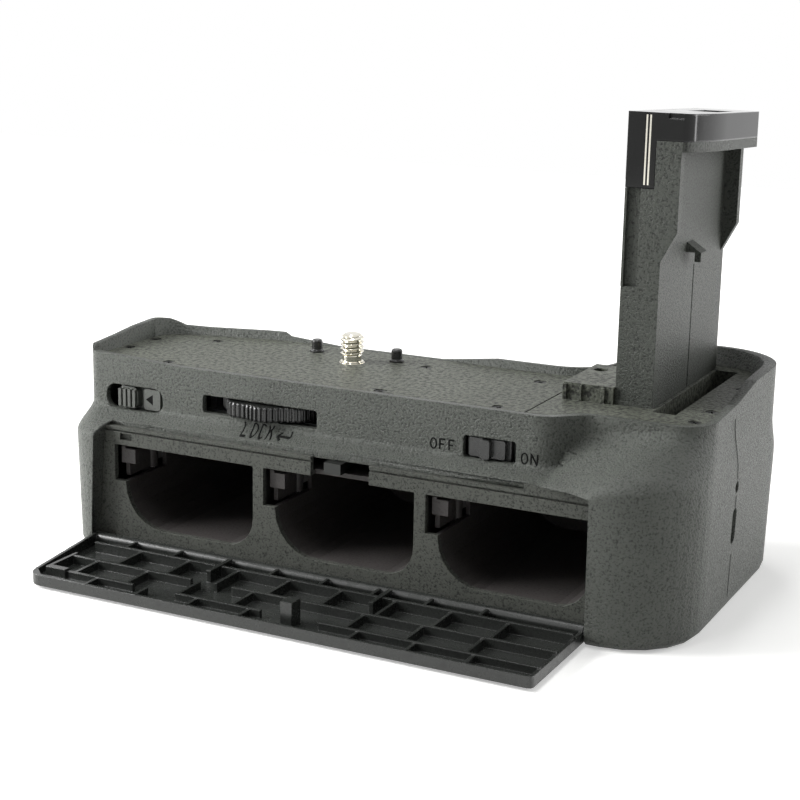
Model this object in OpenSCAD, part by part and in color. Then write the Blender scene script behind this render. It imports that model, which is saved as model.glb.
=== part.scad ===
// Camera battery grip: a wide body with three battery bays behind a drop-down door,
// a lock wheel that turns the camera screw through a gear pair, and a battery tower.
// The origin is the camera screw's axis at the top face of the seat plate.
// +X points to the tower, +Y to the camera's front and +Z up. All sizes are in millimetres.

/* [Body] */
// Screw axis to the left end of the upper body
body_left = 65.5; // [62:0.5:69]
// Screw axis to the right end of the upper body
body_right = 105.5; // [104:0.5:110]
// Seat face to the underside of the body
body_h = 51.5; // [50.5:0.5:56]
// Screw axis to the near control panel
panel_y = 29.5; // [28.5:0.5:31]
// Screw axis to the thumb scoop's edge
scoop_y = 22.2; // [20:0.2:24]
// Left end of the thumb scoop
scoop_x = 68.5; // [67:0.5:70]
// Screw axis to the far edge of the seat
far_y = 16.2; // [15:0.2:19]
// Screw axis to the far side of the tower lobe
lobe_y = 50; // [49:0.5:54]
// Left end of the tower lobe's far side
lobe_x = 77.5; // [75:0.5:78]
// How far the lower body stands out on the near side
flare_near = 11.8; // [11.4:0.1:12.6]
// How far the lower body stands out at the right end
flare_right = 2; // [1:0.1:3]
// How far the lower body stands out at the left end
flare_left = 0.6; // [0.4:0.1:1.6]
// How far the lower body stands out on the far side
flare_far = 10.8; // [10.6:0.1:13]
// Wall of the two shells
wall = 1.8; // [1.4:0.1:2.1]
// Floor of the two shells
floor_t = 2; // [1.6:0.1:2.6]
// Ledge that carries the seat plate
ledge_w = 4; // [3.2:0.1:4.6]
// Rounding of the lower edges
bottom_round = 3; // [2:0.1:4]
// Rim height at the far left corner
rim_left = 5; // [3:0.1:7]
// Rim height round the tower lobe
rim_right = 5; // [3:0.1:7]
// Assembly gap between fixed pieces
fit = 0.1; // [0.05:0.05:0.2]
// Gap beside moving pieces
run_gap = 0.4; // [0.3:0.05:0.5]

/* [Seat] */
// Thickness of the seat plate and of the tower deck
plate_t = 2; // [1.6:0.1:2.4]
// Line where the seat plate meets the tower deck
deck_x = 62; // [60:0.5:63]
// Radius of a locating pin
pin_r = 1.5; // [1.2:0.1:1.8]
// Height of a locating pin
pin_h = 3.5; // [2.5:0.1:4.5]
// Shank radius of a plate screw
plate_screw_r = 0.8; // [0.6:0.1:1]
// Head radius of a plate screw
screw_head_r = 1.6; // [1.4:0.1:1.8]

/* [Lock screw and wheel] */
// Major radius of the camera thread
thread_r = 3.175; // [3.175:0.001:4.763]
// Pitch of the camera thread
thread_pitch = 1.27; // [1:0.01:1.6]
// Height of the camera screw above the seat
screw_h = 7.8; // [6:0.1:9]
// Module of the gear pair
gear_module = 0.8; // [0.78:0.01:0.82]
// Teeth on the wheel gear
wheel_teeth = 22; // [21:1:23]
// Teeth on the screw gear
screw_teeth = 30; // [29:1:31]
// Radius of the lock wheel
wheel_r = 16; // [15.5:0.1:16.5]
// How far the wheel stands out of the panel
wheel_out = 3.9; // [3:0.1:4.5]
// Thickness of the lock wheel's rim
wheel_t = 3.8; // [3:0.1:4]
// Radius of the wheel's axle
axle_r = 2; // [1.6:0.1:2.4]

/* [Battery bays] */
// Width of a bay
bay_w = 39.6; // [39:0.1:40.2]
// Shell floor to the underside of the bays
bay_lift = 5.6; // [5.1:0.1:6.3]
// Depth of a bay
bay_d = 57; // [55:0.5:57.5]
// Distance from one bay to the next
bay_pitch = 46.2; // [45.8:0.1:46.6]
// Left edge of the first bay
bay_x = 48.6; // [48:0.1:49.4]
// Seat face to the top of the bays
bay_top = 21.6; // [21:0.1:22]
// Wall of a bay's sleeve
sleeve_t = 1.2; // [1:0.1:1.4]
// How far the bay face lies behind the near side
recess_d = 4.8; // [4.6:0.1:5.2]

/* [Bay door] */
// Seat face to the top edge of the door opening
recess_top = 15; // [14.4:0.1:15.4]
// Left edge of the door opening at its top
recess_left = 55.5; // [55:0.5:57]
// Right edge of the door opening
recess_right = 84.2; // [83.6:0.2:85]
// Slant of the opening's left edge from top to bottom
recess_slant = 2.2; // [0:0.1:4]
// Thickness of the door's skin
skin_t = 1.2; // [1:0.1:1.4]
// Hinge axis to the outer face of the skin
skin_drop = 2.6; // [2.5:0.1:2.8]
// Thickness of the door's ribs
rib_t = 0.9; // [0.7:0.1:1.2]
// Radius of the hinge pin
hinge_pin_r = 1; // [0.8:0.1:1.1]

/* [Latch and switch] */
// Travel of the door latch to the left
latch_travel = 3.5; // [2.5:0.1:3.8]
// Travel of the power switch to the right
switch_travel = 2.5; // [1.5:0.1:2.6]
// Height of the latch slot
latch_slot_h = 6.6; // [6:0.1:7]
// Height of the switch slot
switch_slot_h = 5.6; // [5:0.1:6]

/* [Tower] */
// Left face of the tower
tower_x = 77.8; // [77.4:0.2:79]
// Thickness of the tower's hollow web
tower_w = 9.7; // [9:0.1:9.9]
// Near face of the tower
tower_near = 8.6; // [7:0.2:9]
// Depth of the tower from near to far
tower_d = 53.3; // [50:0.1:54]
// Seat face to the top of the tower's cap
tower_h = 71.4; // [68:0.2:75]
// Height of the cap's band
cap_h = 6.6; // [5:0.1:8]
// Reach of the tower's head to the right of its left face
head_w = 17.7; // [16:0.1:19]
// Wall of the tower
tower_wall = 1.6; // [1.2:0.1:2]
// Depth of the pocket beside the tower
pocket_d = 11; // [8:0.5:12]
// Width of the pocket beside the tower
pocket_w = 5.8; // [5:0.1:6.2]

/* [Hidden] */
$fn = 48;

// Places worked out from the driving sizes
low_near = panel_y + flare_near;
low_left = body_left + flare_left;
low_right = body_right + flare_right;
low_far = far_y + flare_far;
floor_top = -body_h + floor_t;
eps = 0.01;
// How far a cut runs past the face that it opens
over = 1;
// Steps of a drawn quarter circle
round_steps = 6;

// Outline of the upper and of the lower body: x, y, corner radius, flare start and end depth
upper = [
    [-body_left, -panel_y, 3.5], [scoop_x, -panel_y, 9], [scoop_x + 6.5, -scoop_y, 6],
    [body_right, -scoop_y, 9], [body_right, lobe_y, 19], [lobe_x, lobe_y, 9],
    [deck_x - 1.5, far_y, 14], [-body_left / 2, far_y, 34], [-body_left, far_y - 9.2, 9]
];
lower = [
    [-low_left, -low_near, 11], [scoop_x - 4, -low_near, 4], [scoop_x + 8, -low_near, 5],
    [low_right, -low_near, 20], [low_right, lobe_y + 1, 19], [lobe_x - 1, lobe_y + 1, 9],
    [deck_x - 4, low_far, 10], [-body_left / 2, low_far, 34], [-low_left, low_far - 2.5, 9]
];
flare_from = [-12.5, -12, -5, -1, -9, -9, -12, -12, -13];
flare_to = [-19, -17.6, -18.6, -13, -18, -18, -19, -19, -19.5];
edge_cuts = [4, 1, 1, 2, 0, 1, 4, 2, 2];
arc_steps = 5;
taper = 0.7;
flare_levels = [-20, -18.8, -17.6, -16.4, -15.2, -14, -12.6, -10.5, -8, -5.5, -3, -1];
inner_levels = [-9, -11.4, -13.4, -15, -16.6, -18.2, -20];
// Raises the inner face inside the flare, so that the wall keeps its thickness there
inner_lift = 1.4;

function unit(v) = v / norm(v);
function xy(p) = [p[0], p[1]];
function at(list, i) = list[(i + len(list)) % len(list)];
function turn(a, b, c) =
    let (u = b - a, v = c - b) atan2(u[0] * v[1] - u[1] * v[0], u * v);
function spin(v, a) = [v[0] * cos(a) - v[1] * sin(a), v[0] * sin(a) + v[1] * cos(a)];
function inward(a, b) = let (u = unit(b - a)) [-u[1], u[0]];

// A corner moved inwards by d, with its radius changed to keep the wall even
function inset_corner(a, b, c, d) =
    let (m = inward(xy(a), xy(b)), n = inward(xy(b), xy(c)),
         p = xy(b) + d * (m + n) / (1 + m * n),
         bend = turn(xy(a), xy(b), xy(c)))
    [p[0], p[1], max(0.4, b[2] - sign(bend) * d)];
function inset(c, d) =
    [for (i = [0:len(c) - 1]) inset_corner(at(c, i - 1), c[i], at(c, i + 1), d)];

// A corner as an arc of points; a point on a straight edge becomes a short straight run
function arc_points(a, b, c, r) =
    let (u = unit(b - a), bend = turn(a, b, c), s = b - u * r * tan(abs(bend) / 2),
         m = s + sign(bend) * r * [-u[1], u[0]])
    [for (k = [0:arc_steps])
        abs(bend) < 0.5 ? b + u * r * (k / arc_steps - 0.5)
                        : m + spin(s - m, bend * k / arc_steps)];
function arcs(c) =
    [for (i = [0:len(c) - 1])
        arc_points(xy(at(c, i - 1)), xy(c[i]), xy(at(c, i + 1)), c[i][2])];
// A closed outline: the corner arcs, with extra points along the straight edges
function ring(c) =
    let (q = arcs(c))
    [for (i = [0:len(c) - 1])
        each concat(q[i], [for (k = [1:1:edge_cuts[i]])
            q[i][arc_steps] + (at(q, i + 1)[0] - q[i][arc_steps]) * k / (edge_cuts[i] + 1)])];
// One number per corner, spread over the same points as a ring
function spread(v) =
    [for (i = [0:len(v) - 1])
        each concat([for (k = [0:arc_steps]) v[i]], [for (k = [1:1:edge_cuts[i]])
            v[i] + (at(v, i + 1) - v[i]) * k / (edge_cuts[i] + 1)])];
function ease(t) = let (s = min(1, max(0, t))) s * s * (3 - 2 * s);
flare_a = spread(flare_from);
flare_b = spread(flare_to);
// The body's outline at depth z, moved inwards by d
function body_ring(z, d, lift = 0) =
    let (u = ring(inset(upper, d)), l = ring(inset(lower, d)))
    [for (i = [0:len(u) - 1])
        let (t = ease((flare_a[i] - z - lift) / (flare_a[i] - flare_b[i])),
             p = u[i] + (l[i] - u[i]) * t)
        [p[0], p[1], z]];
// Height of the rim above the seat at a point of the upper outline
function rim_at(p) =
    p[0] < -20 ? rim_left_at(p) : p[0] > 25 && p[1] > -scoop_y ? rim_right_at(p) : 0;
function rim_left_at(p) =
    p[1] < -panel_y + 1 ? 0.25 * rim_left * ease((-p[0] - 40) / 20)
    : p[0] < -body_left + 0.5 ? rim_left * (0.55 + 0.45 * ease((p[1] + panel_y) / panel_y))
    : p[1] < 0 ? 0.45 * rim_left
    : rim_left * (0.44 * ease((-p[0] - 26) / 4) + 0.5 * ease((-p[0] - body_left + 8) / 7));
function rim_right_at(p) =
    p[1] < 0 ? 0.2 * rim_right * ease((p[1] + scoop_y) / scoop_y)
    : rim_right * (0.4 * ease((p[0] - 25) / 4) + 0.6 * ease((p[0] - deck_x) / 20))
      * (0.3 + 0.7 * ease(p[1] / 22 + (p[0] < deck_x ? 1 : 0)));
rim_ring = [for (p = ring(upper)) rim_at(p)];
function lift_ring(c, h) = [for (i = [0:len(c) - 1]) [c[i][0], c[i][1], h[i]]];

bottom_rings = [for (a = [0:30:90])
    body_ring(-body_h + bottom_round * (1 - cos(a)), taper + bottom_round * (1 - sin(a)))];
outer_rings = concat(bottom_rings, [for (z = flare_levels) body_ring(z, 0)]);
ledge_t = 3;
ledge_slant = 1.2;
ledge_under = -plate_t - ledge_t;
floor_fillet = [1, 2];
inner_rings = concat(
    [body_ring(-plate_t, wall), body_ring(-plate_t, wall + ledge_w),
     body_ring(ledge_under, wall + ledge_w), body_ring(ledge_under - ledge_slant, wall)],
    [for (z = inner_levels) body_ring(z, wall, inner_lift)],
    [body_ring(floor_top + floor_fillet[1], wall + taper),
     body_ring(floor_top, wall + taper + floor_fillet[0])]);

// A closed skin over a stack of rings with the same number of points.
// Each end is closed by a fan about its hub point.
module loft(rings, low_hub, top_hub) {
    n = len(rings[0]);
    last = len(rings) - 1;
    size = n * len(rings);
    sides = [for (j = [0:last - 1], i = [0:n - 1])
        let (a = j * n + i, b = j * n + (i + 1) % n)
        each [[a, a + n, b + n], [a, b + n, b]]];
    low_cap = [for (i = [0:n - 1]) [size, i, (i + 1) % n]];
    top_cap = [for (i = [0:n - 1]) [size + 1, last * n + (i + 1) % n, last * n + i]];
    polyhedron(concat([for (r = rings) each r], [low_hub, top_hub]), concat(sides, low_cap, top_cap));
}

// The tower's side of the body sees every point of the outline, so the fans start there
function hub(z) = [deck_x + 18, 0, z];

// The hollow tub of the body before it is parted into two shells
module body_tub() {
    loft(concat(outer_rings,
        [lift_ring(ring(upper), rim_ring), lift_ring(ring(inset(upper, wall)), rim_ring)],
        inner_rings), hub(-body_h), hub(floor_top));
}

// The body without its hollow
module body_solid() {
    loft(concat(outer_rings, [body_ring(0, 0)]), hub(-body_h), hub(0));
}

// Half space on the near or the far side of the parting plane
module half_space(side) {
    translate([-2 * body_right, side > 0 ? 0 : -4 * body_right, -2 * body_h])
        cube([4 * body_right, 4 * body_right, 4 * body_h]);
}

// A box given by its lowest and highest corner
module box(a, b) {
    translate(a) cube(b - a);
}

// Extrudes a drawing in x and z along y
module along_y(from, to) {
    translate([0, to, 0]) rotate([90, 0, 0]) linear_extrude(to - from) children();
}

// A rectangle with round corners, from lowest to highest corner
module round_rect(a, b, r) {
    polygon([for (c = [[a[0] + r, a[1] + r, 180], [b[0] - r, a[1] + r, 270],
                       [b[0] - r, b[1] - r, 0], [a[0] + r, b[1] - r, 90]], k = [0:round_steps])
        let (t = c[2] + 90 * k / round_steps) [c[0], c[1]] + r * [cos(t), sin(t)]]);
}

// Screws that hold the seat plate and the tower deck
screw_head_t = 0.9;
screw_len = 4.4;
screw_clear = 0.05;
screw_sink = 0.2;
head_margin = 0.3;
side_x = -body_left + wall + fit + screw_head_r + head_margin;
near_y = -panel_y + wall + fit + screw_head_r + head_margin;
ledge_screws = [[side_x, -15.5], [side_x, -2.8], [-41.7, near_y], [21.9, near_y], [54.3, near_y]];
post_screws = [[-45, 4.1], [20.1, 4.6], [52.9, 4.6]];
right_margin = 0.9;
right_x = body_right - wall - fit - screw_head_r - right_margin;
deck_screw_at = [[right_x, 23.1], [right_x, -3.7], [right_x - 0.6, -15.6]];
shell_boss_r = 2.2;
base_half = [36, 16];
base_edge = [6, 4];
base_t = 1.6;
base_screw_at = [for (sx = [-1, 1], sy = [-1, 1])
    [sx * (base_half[0] - base_edge[0]), sy * (base_half[1] - base_edge[1])]];

// Door opening in the near side, drawn in x and z
frame_t = 1.6;
door_corner = 4;
corner_cut = 1.2;
corner_mid = 0.35;
slope = recess_slant / (body_h - recess_top);
face_y = -low_near + recess_d;
module recess_outline(grow) {
    drop = -body_h - over - grow;
    head = -recess_top + grow;
    right = recess_right + grow;
    polygon(concat(
        [[-recess_left - slope * (-drop - recess_top) - grow, drop], [right, drop],
         [right, head - corner_cut], [right - corner_mid, head - corner_mid], [right - corner_cut, head]],
        [for (k = [0:round_steps]) let (a = 90 * k / round_steps)
            [-recess_left - grow + door_corner * (1 - sin(a)), head - door_corner * (1 - cos(a))]]));
}

// Control slots in the near panel, and the place of the lock wheel
latch_mid = -10.3;
latch_x0 = -59.4;
latch_x1 = -41.2;
latch_slot_round = 2.8;
switch_mid = -10;
switch_x0 = 46.8;
switch_x1 = 60.8;
slot_round = 0.8;
addendum = 0.9;
dedendum = 1.2;
gear_low = -6.6;
gear_top = -3.4;
gear_far = gear_module * (wheel_teeth + screw_teeth) / 2;
wheel_y = -panel_y - wheel_out + wheel_r;
wheel_x = -sqrt(gear_far * gear_far - wheel_y * wheel_y);
wheel_top = -7.1;
wheel_slot_half = 17.2;
wheel_slot_gap = 0.5;
// A slot in the panel that is wide along x and h high
module panel_slot(x0, x1, mid, h, r) {
    along_y(-panel_y - 2 * over, -panel_y + wall + over)
        round_rect([x0, mid - h / 2], [x1, mid + h / 2], r);
}
module panel_slots() {
    panel_slot(latch_x0, latch_x1, latch_mid, latch_slot_h, latch_slot_round);
    panel_slot(switch_x0, switch_x1, switch_mid, switch_slot_h, slot_round);
    panel_slot(wheel_x - wheel_slot_half, wheel_x + wheel_slot_half, wheel_top - wheel_t / 2,
        wheel_t + 2 * wheel_slot_gap, slot_round);
}
// Room behind the panel for the wheel and its gear, and in the far ledge for the screw gear
module wheel_relief() {
    translate([wheel_x, wheel_y, wheel_top - wheel_t - wheel_slot_gap])
        cylinder(r = wheel_r + run_gap, h = wheel_t + 2 * wheel_slot_gap);
    translate([wheel_x, wheel_y, wheel_top])
        cylinder(r = gear_module * (wheel_teeth / 2 + addendum) + run_gap, h = -plate_t - wheel_top);
}
module screw_relief() {
    translate([0, 0, gear_low - run_gap])
        cylinder(r = gear_module * (screw_teeth / 2 + addendum) + run_gap,
                 h = -plate_t - gear_low + run_gap);
}

// Charging port and indicator in the right end, on the parting plane
port_z = -29;
port_h = 9;
port_t = 3.2;
port_reach = 6;
lens_z = -19;
lens_r = 1.3;
module x_rod(x0, x1, y, z, r) {
    translate([x0, y, z]) rotate([0, 90, 0]) cylinder(r = r, h = x1 - x0);
}
module port_pill(r, x0, x1) {
    half = (port_h - port_t) / 2;
    for (z = [port_z - half, port_z + half])
        x_rod(x0, x1, 0, z, r);
    box([x0, -r, port_z - half], [x1, r, port_z + half]);
}
module port_holes() {
    port_pill(port_t / 2 + fit, body_right - port_reach, body_right + port_reach);
    x_rod(body_right - port_reach, body_right + port_reach, 0, lens_z, lens_r + fit);
}

// Tripod bush in the floor below the screw axis
bush_r = 5;
bush_bore_r = 3.2;
bush_flange = 2;
bush_cap = 0.5;
bush_top = floor_top + 3.6;
module floor_holes() {
    translate([0, 0, -body_h - over]) cylinder(r = bush_r + fit, h = floor_t + 2 * over);
    for (p = base_screw_at)
        translate([p[0], p[1], -body_h - over]) {
            cylinder(r = plate_screw_r + screw_clear, h = floor_t + 2 * over);
            cylinder(r = screw_head_r + fit, h = screw_head_t + over);
        }
}

// Hinge of the door
hinge_back = 0.1;
hinge_rise = 0.9;
hinge_y = -low_near + skin_drop + hinge_back;
hinge_z = -body_h + hinge_rise + skin_drop;
door_gap = 0.4;
hinge_x0 = -recess_left - recess_slant + door_gap;
hinge_grip = 1.2;

module shell_bosses(side) {
    for (p = concat(ledge_screws, deck_screw_at))
        if (p[1] * side > shell_boss_r)
            translate([p[0], p[1], ledge_under]) cylinder(r = shell_boss_r, h = -plate_t - ledge_under);
}
module shell_screw_holes() {
    for (p = concat(ledge_screws, deck_screw_at))
        translate([p[0], p[1], ledge_under - over])
            cylinder(r = plate_screw_r + screw_clear, h = -plate_t - ledge_under + 2 * over);
}

module rear_shell() {
    color("#3d403c") difference() {
        union() {
            intersection() {
                body_tub();
                half_space(-1);
            }
            intersection() {
                body_solid();
                along_y(-low_near - over, face_y + frame_t) recess_outline(frame_t);
            }
            shell_bosses(-1);
        }
        along_y(-low_near - 5 * over, face_y + frame_t + eps) recess_outline(0);
        panel_slots();
        wheel_relief();
        port_holes();
        floor_holes();
        shell_screw_holes();
        x_rod(hinge_x0 - hinge_grip, recess_right + hinge_grip, hinge_y, hinge_z, hinge_pin_r + fit / 2);
    }
}

module front_shell() {
    color("#3d403c") difference() {
        union() {
            intersection() {
                body_tub();
                half_space(1);
            }
            shell_bosses(1);
        }
        screw_relief();
        port_holes();
        floor_holes();
        shell_screw_holes();
        tower_foot(2 * fit);
        pocket_tub(2 * fit);
    }
}

// The flat area inside the rim, left or right of the line between plate and deck
deck_seam = 0.35;
module seat_area(left) {
    intersection() {
        polygon(ring(inset(upper, wall + fit)));
        translate(left ? [deck_x - deck_seam / 2 - 4 * body_right, -2 * body_right]
                       : [deck_x + deck_seam / 2, -2 * body_right])
            square(4 * body_right);
    }
}
module plate_screw_holes(places) {
    for (p = places) {
        translate([p[0], p[1], -plate_t - over])
            cylinder(r = plate_screw_r + screw_clear, h = plate_t + 2 * over);
        translate([p[0], p[1], -screw_head_t - screw_sink])
            cylinder(r = screw_head_r + fit, h = screw_head_t + screw_sink + over);
    }
}
bearing_gap = 0.05;
press_gap = 0.02;
journal_min = 3.5;
thread_land = 0.3;
journal_r = max(journal_min, thread_r + thread_land);
pin_at = [[-14.4, 6.5], [10.2, 6.6]];
pin_collar = 0.5;

module seat_plate() {
    color("#4a4d49") difference() {
        translate([0, 0, -plate_t]) linear_extrude(plate_t) seat_area(true);
        plate_screw_holes(concat(ledge_screws, post_screws));
        translate([0, 0, -plate_t - over])
            cylinder(r = journal_r + bearing_gap, h = plate_t + 2 * over);
        for (p = pin_at)
            translate([p[0], p[1], -plate_t - over])
                cylinder(r = pin_r + pin_collar + press_gap, h = plate_t + 2 * over);
    }
}

module locating_pins() {
    foot = pin_r + pin_collar;
    slant = 0.2;
    bevel = 0.4;
    tip = plate_t + pin_h;
    for (p = pin_at)
        color("#1e1f1e") translate([p[0], p[1], -plate_t])
            rotate_extrude() polygon([[0, 0], [foot, 0], [foot, plate_t + pin_collar],
                [pin_r, plate_t + pin_collar + slant], [pin_r, tip - bevel], [pin_r - bevel, tip], [0, tip]]);
}

// A flat-headed screw with a cross recess, its head's top at z = 0
module small_screw(shank) {
    cross_w = 0.5;
    cross_d = 0.5;
    cross_half = 0.6 * screw_head_r;
    difference() {
        union() {
            translate([0, 0, -screw_head_t]) cylinder(r = screw_head_r, h = screw_head_t);
            translate([0, 0, -screw_head_t - shank]) cylinder(r = plate_screw_r, h = shank);
        }
        for (a = [0, 90])
            rotate(a) translate([-cross_half, -cross_w / 2, -cross_d])
                cube([2 * cross_half, cross_w, cross_d + over]);
    }
}
module screw_group(places) {
    for (p = places)
        color("#2b2c2b") translate([p[0], p[1], -screw_sink]) small_screw(screw_len);
}
module plate_screws() { screw_group(concat(ledge_screws, post_screws)); }
module deck_screws() { screw_group(deck_screw_at); }
module base_screws() {
    for (p = base_screw_at)
        color("#2b2c2b") translate([p[0], p[1], -body_h]) rotate([180, 0, 0]) small_screw(floor_t);
}

module base_plate() {
    color("#777a7c") difference() {
        box([-base_half[0], -base_half[1], floor_top], [base_half[0], base_half[1], floor_top + base_t]);
        translate([0, 0, floor_top - over]) cylinder(r = bush_r + press_gap, h = base_t + 2 * over);
        for (p = base_screw_at)
            translate([p[0], p[1], floor_top - over])
                cylinder(r = plate_screw_r + screw_clear, h = base_t + 2 * over);
    }
}

module tripod_bush() {
    color("#b9b6ab") difference() {
        union() {
            translate([0, 0, -body_h]) cylinder(r = bush_r, h = bush_top + body_h);
            translate([0, 0, floor_top + base_t])
                cylinder(r = bush_r + bush_flange, h = bush_top - floor_top - base_t);
        }
        translate([0, 0, -body_h - over]) cylinder(r = bush_bore_r, h = bush_top + body_h + over - bush_cap);
    }
}

// Battery cage: a face round the bay mouths, and three sleeves with their posts
bay_left = [for (i = [0:2]) -bay_x + i * bay_pitch];
bay_low = floor_top + bay_lift;
bay_back = face_y + bay_d;
bay_round_left = 12;
bay_round_right = 8;
face_t = 1.6;
face_drop = 1.7;
module bay_mouth(i, grow) {
    x0 = bay_left[i] - grow;
    x1 = bay_left[i] + bay_w + grow;
    low = bay_low - grow;
    r0 = bay_round_left + grow;
    r1 = bay_round_right + grow;
    polygon(concat([[x1, -bay_top + grow], [x0, -bay_top + grow]],
        [for (k = [0:round_steps]) let (a = 90 * k / round_steps)
            [x0 + r0 * (1 - cos(a)), low + r0 * (1 - sin(a))]],
        [for (k = [0:round_steps]) let (a = 90 * k / round_steps)
            [x1 - r1 * (1 - sin(a)), low + r1 * (1 - cos(a))]]));
}
notch_w = 3.5;
notch_h = 10;
latch_gap_x0 = 8;
latch_gap_x1 = 24.6;
catch_t = 1.2;
catch_x = 2;
catch_reach = 15;
catch_drop = 0.8;
catch_h = 8.6;
catch_boss_r = 1.6;
catch_pin_r = 0.8;
catch_pin_y = face_y + catch_reach;
catch_top = -bay_top - catch_drop;
catch_low = catch_top - catch_h;
catch_tail = 4;
ear_t = 1.4;
ear_gap = 0.3;
ear_half = [1.8, 2];
module catch_window(i) {
    box([bay_left[i] - notch_w, face_y - over, -bay_top - notch_h],
        [bay_left[i] + over, face_y + face_t + over, -bay_top]);
    box([bay_left[i] - sleeve_t - eps, face_y + face_t, -bay_top - notch_h],
        [bay_left[i] + over, catch_pin_y + catch_tail, -bay_top]);
}
module catch_ears(i) {
    for (z = [catch_low - ear_gap - ear_t, catch_top + ear_gap])
        box([bay_left[i] - catch_x - ear_half[0], catch_pin_y - ear_half[1], z],
            [bay_left[i], catch_pin_y + ear_half[1], z + ear_t]);
}
board_top = -16;
board_t = 1.6;
board_posts = [[27, -21], [27, -4], [72, -21], [72, -4]];
board_post_r = 2.2;
cage_top = -bay_top + sleeve_t;
post_r = 2.4;
post_floor = 0.6;
module post(p, r, top) {
    translate([p[0], p[1], cage_top - eps]) cylinder(r = r, h = top - cage_top + eps);
}
// Gap over the middle bay, where the latch hook meets the tab of the closed door
tab_room = 1;
module latch_gap() {
    box([latch_gap_x0, face_y - over, -bay_top - eps], [latch_gap_x1, face_y + face_t + tab_room, 0]);
}
// Bay face: its right end is taller, where the near side stands further out, and a drip groove
// runs along its top, with a small keyhole beside the first bay
face_rise_x = 66;
groove_drop = 0.9;
groove_h = 0.5;
groove_in = 0.6;
keyhole_x = [-50.3, -46.6];
keyhole_z = [-20.2, -18.4];
keyhole_d = 1.2;
module cage_face() {
    top = -recess_top - face_drop;
    color("#1b1c1b") difference() {
        intersection() {
            along_y(face_y, face_y + face_t) recess_outline(-fit);
            union() {
                box([-2 * body_left, face_y, floor_top + fit], [2 * body_right, face_y + face_t, top]);
                box([face_rise_x, face_y, top - eps], [2 * body_right, face_y + face_t, -recess_top - fit]);
            }
        }
        box([-2 * body_left, face_y - over, top - groove_drop - groove_h],
            [2 * body_right, face_y + groove_in, top - groove_drop]);
        box([keyhole_x[0], face_y - over, keyhole_z[0]],
            [keyhole_x[1], face_y + keyhole_d, keyhole_z[1]]);
        for (i = [0:2]) {
            along_y(face_y - over, face_y + face_t + over) bay_mouth(i, 0);
            catch_window(i);
        }
        latch_gap();
    }
}
// Stop of the latch spring, on a foot that stands out of the first sleeve
stop_foot = 1.5;
module spring_stop() {
    low = cage_top - stop_foot;
    box([spring_x0 - stop_t, bar_y1 + run_gap, low],
        [spring_x0 - spring_wire - fit / 2, spring_y + spring_r, bar_top + spring_gap]);
    box([spring_x0 - stop_t, bar_y1 + run_gap, low], [bay_left[0], spring_y + spring_r, cage_top]);
}
function over_bay(i, places) = [for (p = places) if (abs(p[0] - block_mid(i)) < bay_w / 2) p];
module battery_sleeve(i) {
    color("#1b1c1b") difference() {
        union() {
            along_y(face_y + face_t, bay_back + sleeve_t) bay_mouth(i, sleeve_t);
            catch_ears(i);
            if (i == 0) spring_stop();
            for (p = over_bay(i, post_screws))
                post(p, post_r, -plate_t);
            for (p = over_bay(i, board_posts))
                post(p, board_post_r, board_top - board_t);
        }
        along_y(face_y, bay_back) bay_mouth(i, 0);
        catch_window(i);
        latch_gap();
        translate([bay_left[i] - catch_x, catch_pin_y, catch_low - ear_gap - ear_t - over])
            cylinder(r = catch_pin_r + press_gap, h = catch_h + 2 * (ear_gap + ear_t + over));
        block_window(i);
        for (p = over_bay(i, concat(post_screws, board_posts)))
            translate([p[0], p[1], cage_top + post_floor])
                cylinder(r = plate_screw_r + screw_clear, h = body_h);
    }
}
module battery_sleeve_1() { battery_sleeve(0); }
module battery_sleeve_2() { battery_sleeve(1); }
module battery_sleeve_3() { battery_sleeve(2); }

// Contact blocks in the back walls of the sleeves
block_w = 26;
block_h = 9;
block_t = 1.6;
block_drop = 8;
block_flange = 1.2;
block_z = -bay_top - block_drop;
contact_x = [-9, -3, 3, 9];
blade_t = 0.6;
blade_h = 5;
blade_out = 3;
function block_mid(i) = bay_left[i] + bay_w / 2;
// A box across the back wall, w wide and h high, between two places along y
module back_box(x, w, h, y0, y1) {
    box([x - w / 2, y0, block_z - h / 2], [x + w / 2, y1, block_z + h / 2]);
}
module block_window(i) {
    back_box(block_mid(i), block_w + 2 * fit, block_h + 2 * fit, bay_back - over, bay_back + sleeve_t + over);
}
module contact_block(i) {
    end = bay_back + sleeve_t + block_t;
    color("#242524") difference() {
        union() {
            back_box(block_mid(i), block_w, block_h, bay_back, end);
            back_box(block_mid(i), block_w + 2 * block_flange, block_h + 2 * block_flange,
                bay_back + sleeve_t, end);
        }
        for (x = contact_x)
            back_box(block_mid(i) + x, blade_t + 2 * fit, blade_h + 2 * fit, bay_back - over, end + over);
    }
}
module contact_block_1() { contact_block(0); }
module contact_block_2() { contact_block(1); }
module contact_block_3() { contact_block(2); }
module bay_contacts() {
    for (i = [0:2], x = contact_x)
        color("#c9a24a")
            back_box(block_mid(i) + x, blade_t, blade_h, bay_back - blade_out, bay_back + sleeve_t + block_t);
}

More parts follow.
